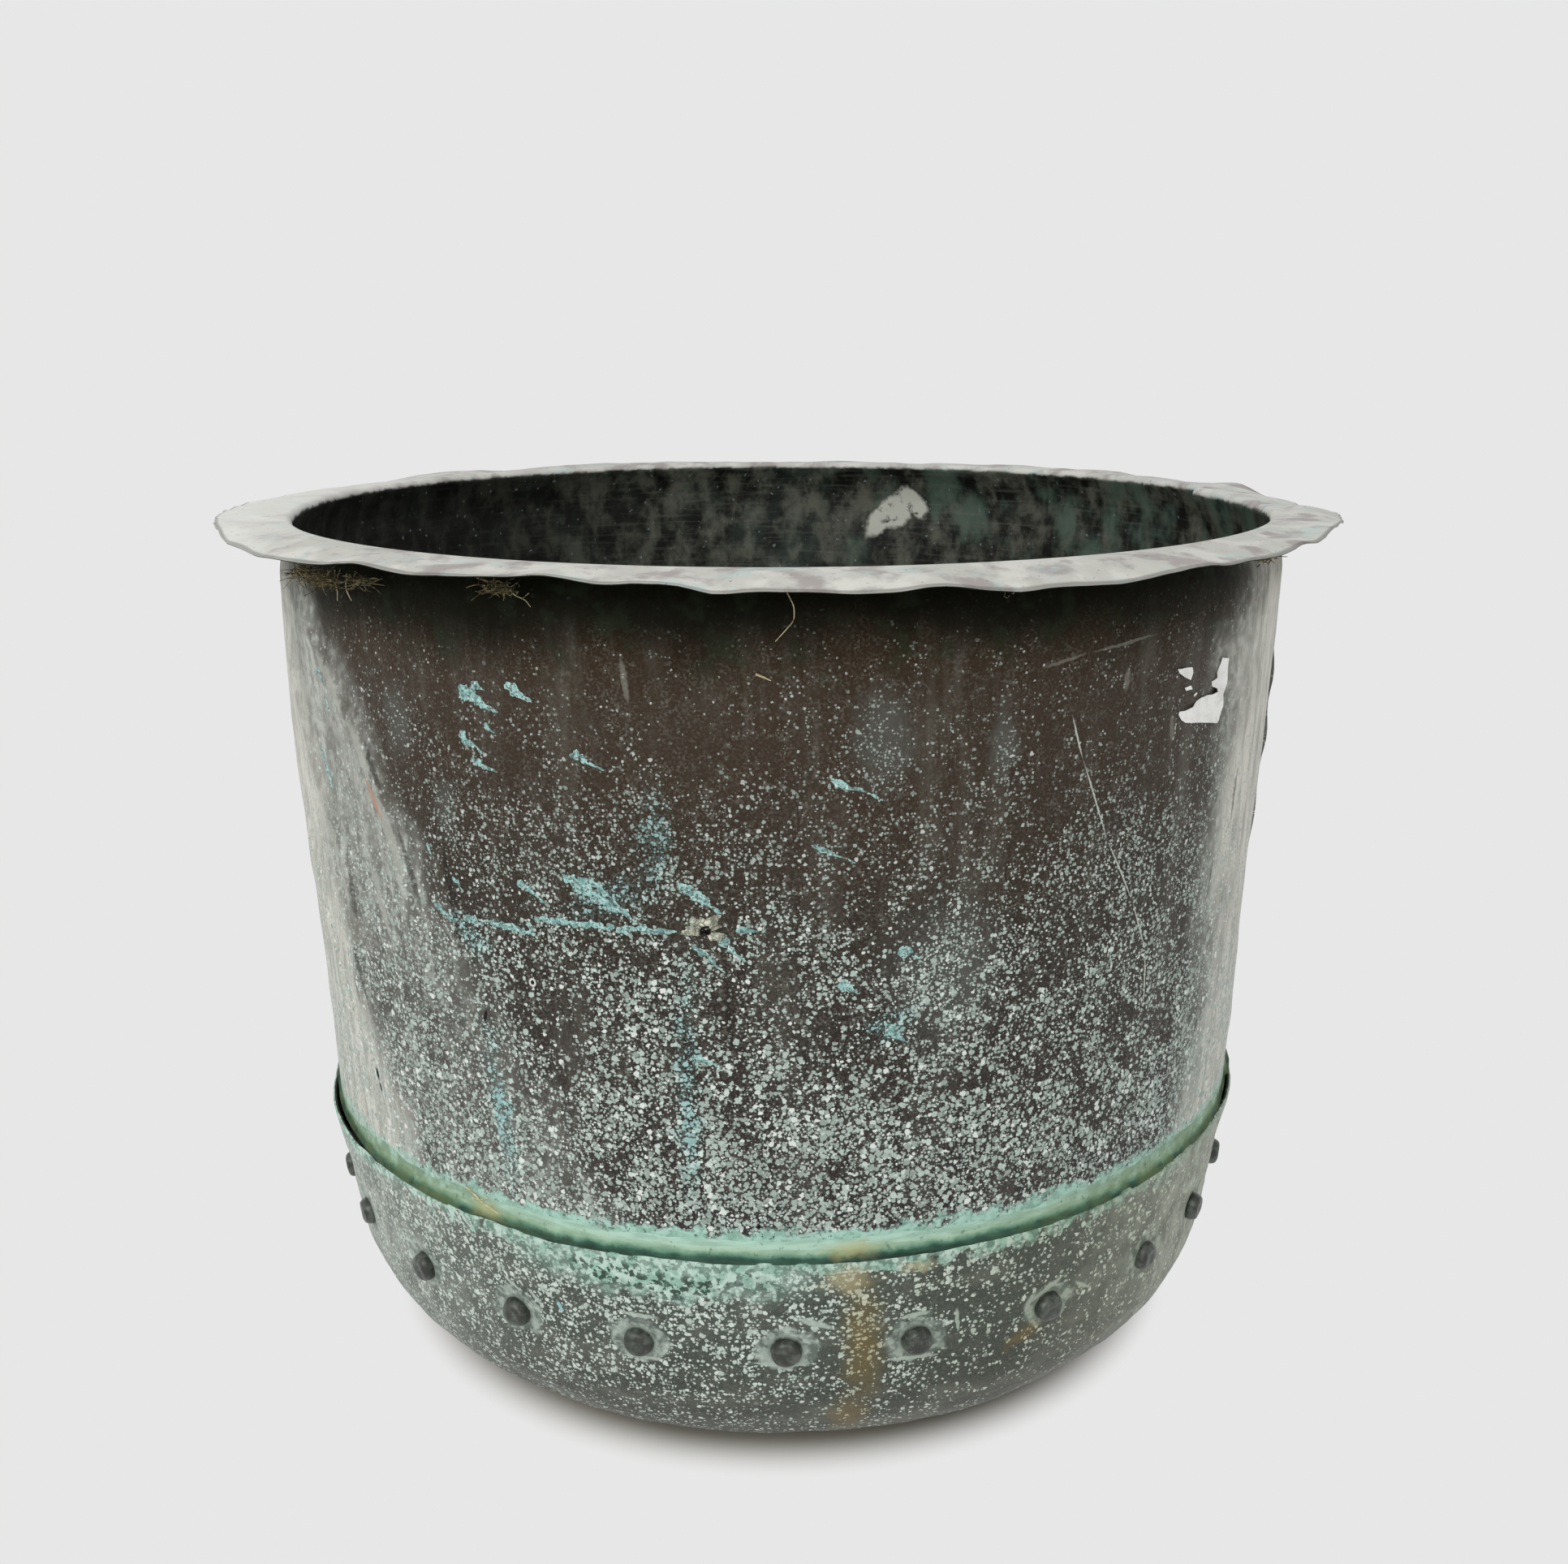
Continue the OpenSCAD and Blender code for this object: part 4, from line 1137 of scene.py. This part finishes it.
panColours = {
    "tarnish": [(0, "#33322b"), (45, "#383b33"), (100, "#3d463e")],    # by height
    "dust": "#7f8276",
    # the flanks' film, with painted sheen
    "film": "#7e877d",
    "filmPale": "#b6beb3",
    "bloom": "#dde8df",
    "bloomShade": "#9fb0a3",
    "crust": "#92baa8",
    "crustPale": "#c3ddd0",
    "pits": "#26382e",
    "scrape": "#aebbb0",
    "scrapeShade": "#66726a",
    "halo": [(0.7, "#1d1f19"), (0.79, "#262a23"), (0.85, "#8b978b"), (0.92, "#7d887d")],
    "stroke": "#aebcb0",
    "ochre": "#94814f",
    "cream": "#bdb58f",
    "tick": "#8fc0c4",
    "warm": "#f2e2bc",         # these two multiply what lies under them
    "warmRight": "#f0e8d2",
}
# Marks on the pan: zones are angle, height, half width, half height and lean, and the pale
# scraped strokes are angle, height, angle, height and half width
panZones = {
    "crust": [[-13, 140, 104, 31, 0]],
    "cream": [[6.5, 134, 17, 12, 0], [14, 137, 12, 6, 0]],
    "ochre": [[8.6, 92, 17, 62, 3], [7.5, 44, 18, 26, 0], [27.5, 79, 18, 9, 14]],
    "tick": [[-24.4, 102.1, 1.4, 4.4, 24]],
}
panStrokes = [[18.6, 109, 19.2, 91, 1.5], [1.2, 112, 5.8, 104, 2.2], [-28.4, 109, -26.6, 99, 1.5],
              [-31.4, 111, -29.4, 104, 1.4], [-17.4, 108, -12.6, 107, 1.9], [27.5, 97, 32.6, 110, 2.0],
              [-22, 104, -20.6, 108, 1.2], [34, 101, 37, 92, 1.5], [12, 107, 16, 109, 1.8],
              [-3.6, 84, 3.4, 82, 1.5], [-18, 80, -12, 82, 1.3], [10.5, 82, 17.5, 80, 1.4]]


# Copper gone grey-green: dull under its pale grains, and smoother where it was hammered round
# the rivets. The finest grains are drawn coarser than they are, to show.
def panOutside():
    material, add = newMaterial("copperPanGreyGreenPatina")
    at = whereOn(add)
    point, sheet = at["point"], at["sheet"]
    wander = sway(add, point, 45.0, 3.0, 0.6)
    height = add("Math", wander, 40.0, at["height"], operation="MULTIPLY_ADD")
    base = ramp(add, height, *panColours["tarnish"])
    grit = patches(add, point, 1.4, 0.42, 0.66, 2.0)
    base = over(add, base, panColours["dust"], grit, 0.22)
    streaks = patches(add, point, 16.0, 0.42, 0.68, 4.0, (0.35, 0.35, 1.0))
    base = over(add, base, panColours["dust"], streaks, 0.3)

    # a paler film on the flanks, with painted sheen, fading towards the back
    offFront = add("Math", at["arc"], operation="ABSOLUTE")
    flank = times(add, span(add, offFront, 125, 300), span(add, offFront, 640, 430, 0.3, 1.0))
    drawn = patches(add, point, 12.0, 0.36, 0.66, 5.0, (1.0, 1.0, 0.7), 0.65)
    film = over(add, panColours["film"], panColours["filmPale"], drawn)
    base = over(add, base, film, flank, span(add, at["height"], 22, 70), 0.75)

    clump = patches(add, point, 15.0, 0.34, 0.58, 2.0)
    thick = add("Math", times(add, clump, 0.72), 0.28, operation="ADD")
    front = span(add, at["x"], 170, -60, 0.42, 1.0)
    bloom = None
    fine = span(add, height, 0, 90, 0.32, 0.65)
    medium = span(add, height, 12, 110, 0.3, 0.95)
    coarse = span(add, height, 40, 135, 0.0, 0.8)
    for cell, radius, filled in ((1.6, 0.48, fine), (2.6, 0.5, medium), (3.8, 0.5, coarse)):
        mask, lot = grains(add, point, cell, radius, times(add, filled, thick, front))
        shade = over(add, panColours["bloom"], panColours["bloomShade"], lot.outputs[1], 0.7)
        base = over(add, base, shade, mask, 0.86)
        bloom = mask if bloom is None else add("Math", bloom, mask, operation="MAXIMUM")

    # round every rivet the blows have left a smooth, paler patch
    rows = [(a, pan["rivetRow"] + float(leanRise(a))) for a in rivetAngles]
    patch = within(add, nearestMark(add, sheet, [[a, z + 1.5, 19, 15, 0] for a, z in rows], 14.0, 9.0), 0.2)
    cloud = patches(add, point, 7.0, 0.4, 0.6, 3.0)
    smooth = over(add, panColours["scrape"], panColours["scrapeShade"], cloud)
    base = over(add, base, smooth, patch, 0.82)
    # painted shade: a dark ring where each head meets the sheet, and a paler ring just outside it
    ring = nearestMark(add, sheet, [[a, z, 10.4, 10.4, 0] for a, z in rows], 0.8, 3.0)
    halo = ramp(add, ring, *panColours["halo"])
    base = over(add, base, halo, within(add, ring, 0.12), 0.6)
    scrapes = within(add, nearestMark(add, sheet, [stroke(*line) for line in panStrokes], 2.4, 3.0), 0.4)
    base = over(add, base, panColours["stroke"], scrapes, 0.85)

    # a thick pale crust with dark pits hangs from the lip at the front
    rise = aboveLip(add, at)
    ragged = sway(add, point, 10.0, 4.0, 0.62)
    edge = add("Math", ragged, 40.0, rise, operation="MULTIPLY_ADD")
    crusted = within(add, nearestMark(add, sheet, panZones["crust"], 20.0, 15.0), 0.6)
    thin = times(add, span(add, edge, -7, -3), span(add, at["x"], 250, 120, 0.4, 1.0))
    crust = add("Math", times(add, crusted, span(add, edge, -28, -19)), thin, operation="MAXIMUM")
    share = times(add, crust, 0.92)
    shade = over(add, panColours["crust"], panColours["crustPale"], patches(add, point, 7.0, 0.4, 0.6))
    base = over(add, base, shade, share)
    pits = patches(add, point, 3.4, 0.49, 0.55, 3.0)
    base = over(add, base, panColours["pits"], pits, crust, span(add, edge, -2, -14, 0.5, 0.95))

    cream = within(add, nearestMark(add, sheet, panZones["cream"], 12.0, 8.0), 0.8)
    base = over(add, base, panColours["cream"], cream, 0.55)
    ochre = within(add, nearestMark(add, sheet, panZones["ochre"], 16.0, 10.0), 1.0)
    base = over(add, base, panColours["ochre"], ochre, 0.36)
    base = over(add, base, panColours["warm"], ochre, 0.7, blend="MULTIPLY")
    base = over(add, base, panColours["warmRight"], span(add, at["x"], 10, 170, 0.0, 0.5), blend="MULTIPLY")
    tick = within(add, nearestMark(add, sheet, panZones["tick"], 1.5, 2.0), 0.5)
    base = over(add, base, panColours["tick"], tick)

    relief = add("TexNoise", point, scale=1 / 5.0, detail=3.0).outputs[0]
    rough = add("MapRange", bloom, 0.0, 1.0, 0.48, 0.8)
    finish(add, base, rough, relief, 0.45, specularIORLevel=0.3)
    return material


panInsideColours = {"tarnish": "#2b2720", "cloud": "#454a3f", "specks": "#6f8276"}


# Copper with a dark, even tarnish and a few pale specks
def panInside():
    material, add = newMaterial("copperPanInsideDarkTarnish")
    at = whereOn(add)
    cloud = patches(add, at["point"], 34.0, 0.4, 0.65, 4.0)
    base = over(add, panInsideColours["tarnish"], panInsideColours["cloud"], cloud)
    specks = grains(add, at["point"], 5.0, 0.4, 0.5)[0]
    base = over(add, base, panInsideColours["specks"], specks, 0.6)
    relief = add("TexNoise", at["point"], scale=1 / 6.0, detail=4.0).outputs[0]
    finish(add, base, 0.55, relief, 0.4, specularIORLevel=0.3)
    return material


rivetColours = {"metal": "#2c2f28", "worn": "#4f564d", "dust": "#8b968d"}


# Copper beaten and rubbed smooth: darker and glossier than the sheet round it
def rivetMetal():
    material, add = newMaterial("copperRivetDarkPolishedHeads")
    at = whereOn(add)
    cloud = patches(add, at["point"], 5.0, 0.4, 0.66, 3.0)
    base = over(add, rivetColours["metal"], rivetColours["worn"], cloud)
    dust = patches(add, at["point"], 1.6, 0.62, 0.74, 2.0)
    base = over(add, base, rivetColours["dust"], dust, 0.4)
    relief = add("TexNoise", at["point"], scale=1 / 2.5, detail=3.0).outputs[0]
    finish(add, base, 0.38, relief, 0.15, specularIORLevel=0.5)
    return material


fillerColours = {
    # by millimetres above the lip; the near-black at and below the lip is dark verdigris and painted shade
    # of the gap
    "crust": [(-2, "#10211a"), (1.5, "#1a362b"), (3.2, "#2f5645"), (4.8, "#6b947c"),
              (6.8, "#a3c1a4"), (9, "#b0d0bb"), (13, "#b2d6c5")],
    "drawn": "#4c7460",
    "olive": "#63744b",
    "ochre": "#b5aa70",
    "pits": "#2c4034",
}


# An old filler gone to verdigris: dark green at the lip, painted darker still as the shade of the gap, and
# chalky where it feathers out
def fillerCrust():
    material, add = newMaterial("verdigrisFillerSeam")
    at = whereOn(add)
    rise = aboveLip(add, at)
    ragged = sway(add, at["point"], 9.0, 3.0, 0.5)
    edge = add("Math", ragged, 5.0, rise, operation="MULTIPLY_ADD")
    base = ramp(add, edge, *fillerColours["crust"])
    drawn = patches(add, at["point"], 3.4, 0.42, 0.6, 4.0, (0.14, 0.14, 1.0), 0.65)
    base = over(add, base, fillerColours["drawn"], drawn, 0.28)
    aside = add("Math", at["arc"], operation="ABSOLUTE")
    olive = times(add, span(add, aside, 80, 220), patches(add, at["point"], 12.0, 0.28, 0.6), 0.62)
    base = over(add, base, fillerColours["olive"], olive)
    stains = [[7.4, 150, 22, 7, 0], [-33, 148, 15, 7, 0]]
    ochre = within(add, nearestMark(add, at["sheet"], stains, 10.0, 8.0), 0.8)
    base = over(add, base, fillerColours["ochre"], ochre, 0.5)
    pits = patches(add, at["point"], 3.0, 0.62, 0.7, 3.0)
    base = over(add, base, fillerColours["pits"], pits, 0.4)
    relief = add("TexNoise", at["point"], scale=1 / 4.0, detail=3.0).outputs[0]
    finish(add, base, 0.7, relief, 0.4, specularIORLevel=0.3)
    return material


puttyColours = {"crust": "#a6a794", "pale": "#dedfca", "crevice": "#454137", "hole": "#0d0c09",
                "green": "#8fae9b"}


# Oil putty dried to a matt cream crust that has cracked into curls round a small hole
def puttyCrust():
    material, add = newMaterial("oldPuttyCreamCrust")
    at = whereOn(add)
    cloud = patches(add, at["point"], 4.0, 0.4, 0.6, 4.0)
    base = over(add, puttyColours["crust"], puttyColours["pale"], cloud)
    curled = warped(add, at["point"], 2.0, 2.4, 3.0)
    curls = add("TexVoronoi", curled, scale=1 / 2.6, feature="DISTANCE_TO_EDGE")
    base = over(add, base, puttyColours["crevice"], span(add, curls, 0.16, 0.04, 0.0, 0.66))
    # the small hole is painted black, as its shade
    middle = [putty["angle"], putty["height"], 3.6, 2.7, 24]
    centre = within(add, nearestMark(add, at["sheet"], [middle], 1.0, 2.0), 0.3)
    base = over(add, base, puttyColours["hole"], centre)
    green = patches(add, at["point"], 6.0, 0.52, 0.64)
    base = over(add, base, puttyColours["green"], green, 0.4)
    relief = add("TexNoise", at["point"], scale=1 / 1.6, detail=4.0).outputs[0]
    finish(add, base, 0.85, relief, 0.5, specularIORLevel=0.2)
    return material


splashColours = {"crust": "#719996", "pale": "#a4cdc8", "metal": "#544c42", "bright": "#cbe4de"}


# Verdigris dried on in gritty turquoise drops, quite matt, with brown metal between its grains
def splashCrust():
    material, add = newMaterial("verdigrisSplashTurquoiseGritty")
    at = whereOn(add)
    cloud = patches(add, at["point"], 4.0, 0.36, 0.62, 4.0)
    base = over(add, splashColours["crust"], splashColours["pale"], cloud)
    grit = patches(add, at["point"], 1.3, 0.5, 0.6, 2.0)
    base = over(add, base, splashColours["metal"], grit, 0.8)
    bright = patches(add, at["point"], 1.6, 0.6, 0.68, 2.0)
    base = over(add, base, splashColours["bright"], bright)
    relief = add("TexNoise", at["point"], scale=1 / 1.4, detail=3.0).outputs[0]
    finish(add, base, 0.9, relief, 0.4, specularIORLevel=0.2)
    return material


paperColours = {"white": "#f6f6f3", "stain": "#dad8cf", "fleck": "#8d8a7c"}


# Plain paper, torn and blank: matt white with faint stains
def paperFace():
    material, add = newMaterial("paperTornBlankWhite")
    at = whereOn(add)
    stain = patches(add, at["point"], 9.0, 0.45, 0.66, 4.0)
    base = over(add, paperColours["white"], paperColours["stain"], stain, 0.5)
    flecks = patches(add, at["point"], 1.2, 0.64, 0.72, 2.0)
    base = over(add, base, paperColours["fleck"], flecks, 0.4)
    relief = add("TexNoise", at["point"], scale=1 / 0.8, detail=3.0).outputs[0]
    finish(add, base, 0.8, relief, 0.1, specularIORLevel=0.3)
    return material


fibreColours = {
    "mossDryGreenBrown": ["#3d3926", "#857959"],
    "rootDryStraw": ["#b3a47e", "#ded3b0"],
}


# Dry moss or straw: matt, and mottled between two colours
def fibre(name):
    material, add = newMaterial(name)
    at = whereOn(add)
    base = over(add, *fibreColours[name], patches(add, at["point"], 2.5, 0.4, 0.62))
    relief = add("TexNoise", at["point"], scale=1 / 0.5, detail=2.0).outputs[0]
    finish(add, base, 0.85, relief, 0.08, specularIORLevel=0.2)
    return material


outside, inside = drumOutside(), drumInside()
settle(buildSheet([outside, inside]), "drum_copper", "side_sheet")
print("side sheet made")

panMaterials = [panOutside(), panInside()]
settle(buildPan(panMaterials), "pan_copper", "bottom_pan")
metal = rivetMetal()
for i, node in enumerate(rivetNodes):
    angle = nodeAngle(node)
    height = pan["rivetRow"] + float(leanRise(angle))
    seat = float(skirtRadius(angle, height)) - 0.3
    piece = buildRivet("panRivet%02d" % (i + 1), node, seat, height, pan["slope"], 1.0,
                       pan["sheet"] + drum["sheet"] + 0.3, [metal], 100 + i)
    settle(piece, "rivet_copper", node)
for i, node in enumerate(lapRivetNodes):
    angle = nodeAngle(node)
    low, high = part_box(node)
    height = (low.z + high.z) / 2 / metre
    seat = float(wallRadius(height) + unevenness(angle, height)) + lap["layer"]
    piece = buildRivet("lapRivet%02d" % (i + 1), node, seat, height, drum["taper"],
                       rivet["lapShare"], drum["sheet"] + lap["layer"], [metal], 200 + i)
    settle(piece, "rivet_copper", node)
print("pan and rivets made")

settle(buildFiller([fillerCrust()]), "verdigris_filler", "seam_filler")
settle(buildPutty([puttyCrust()]), "old_putty", "putty_patch")
settle(buildPaper([paperFace()]), "paper", "paper_scrap")
settle(buildSplashes([splashCrust()]), "verdigris_filler")
settle(buildMoss([fibre("mossDryGreenBrown")]), None)
settle(buildThreads([fibre("rootDryStraw")]), None)
print("filler, patch, paper and dirt made")

studio = {
    "white": 0.799,        # the backdrop as the camera sees it
    "fill": 0.5,           # its light on the boiler
    "key": 38.0,           # watts
    "keySize": 2.0,
    "keyAt": (-0.8, -2.0, 1.9),
    "keyAim": (0, 0, 0.3),
    "floor": (0.56, 0.53, 0.45, 1.0),    # its linear diffuse colour, darker and warmer than the backdrop so that the shadow under the pan is deeper: painted shade
    "floorNear": 0.216,    # metres from the axis: plain floor up to here, backdrop from the next
    "floorFar": 0.252,
}


def buildFloor():
    material, add = newMaterial("floorPaleSeamless")
    where = add("TexCoord").outputs["Object"]
    far = add("VectorMath", where, operation="LENGTH").outputs["Value"]
    share = add("MapRange", far, studio["floorNear"], studio["floorFar"], 0.0, 1.0,
                interpolation_type="SMOOTHSTEP")
    plain = add("BsdfDiffuse", studio["floor"])
    glow = add("Emission", (1.0, 1.0, 1.0, 1.0), studio["white"])
    add("OutputMaterial", add("MixShader", share, plain, glow))
    bpy.ops.mesh.primitive_circle_add(vertices=96, radius=9, fill_type="NGON")
    floor = bpy.context.object
    floor.name = "studioFloor"
    floor.data.materials.append(material)


def lightStudio():
    world = bpy.data.worlds.new("studioWorld")
    bpy.context.scene.world = world
    world.use_nodes = True
    world.node_tree.nodes.clear()
    add = functools.partial(addNode, world.node_tree)
    rays = add("LightPath")
    seen = add("Math", rays.outputs["Is Camera Ray"], rays.outputs["Is Glossy Ray"], operation="MAXIMUM")
    seen = add("Math", seen, rays.outputs["Is Transmission Ray"], operation="MAXIMUM")
    strength = add("MapRange", seen, 0.0, 1.0, studio["fill"], studio["white"])
    add("OutputWorld", add("Background", (1.0, 1.0, 1.0, 1.0), strength))
    light = bpy.data.lights.new("keySoft", "AREA")
    light.energy, light.size = studio["key"], studio["keySize"]
    key = bpy.data.objects.new("keySoft", light)
    key.location = studio["keyAt"]
    key.rotation_euler = (Vector(studio["keyAim"]) - key.location).to_track_quat("-Z", "Y").to_euler()
    bpy.context.scene.collection.objects.link(key)


# The camera, fitted to the photograph: millimetres, metres and degrees
view = {"lens": 38.03, "sensor": 36.0, "at": (0.0020, -0.9929, 0.5833), "tilt": 74.639, "roll": -0.162}


def placeCamera():
    lens = bpy.data.cameras.new("camera")
    lens.lens, lens.sensor_width, lens.sensor_fit = view["lens"], view["sensor"], "HORIZONTAL"
    camera = bpy.data.objects.new("camera", lens)
    tilt, roll = math.radians(view["tilt"]), math.radians(view["roll"])
    look = Matrix.Rotation(tilt, 4, "X") @ Matrix.Rotation(roll, 4, "Z")
    camera.matrix_world = Matrix.Translation(view["at"]) @ look
    bpy.context.scene.collection.objects.link(camera)
    bpy.context.scene.camera = camera
    bpy.context.scene.view_settings.view_transform = "Standard"


buildFloor()
lightStudio()
placeCamera()
print("studio made")
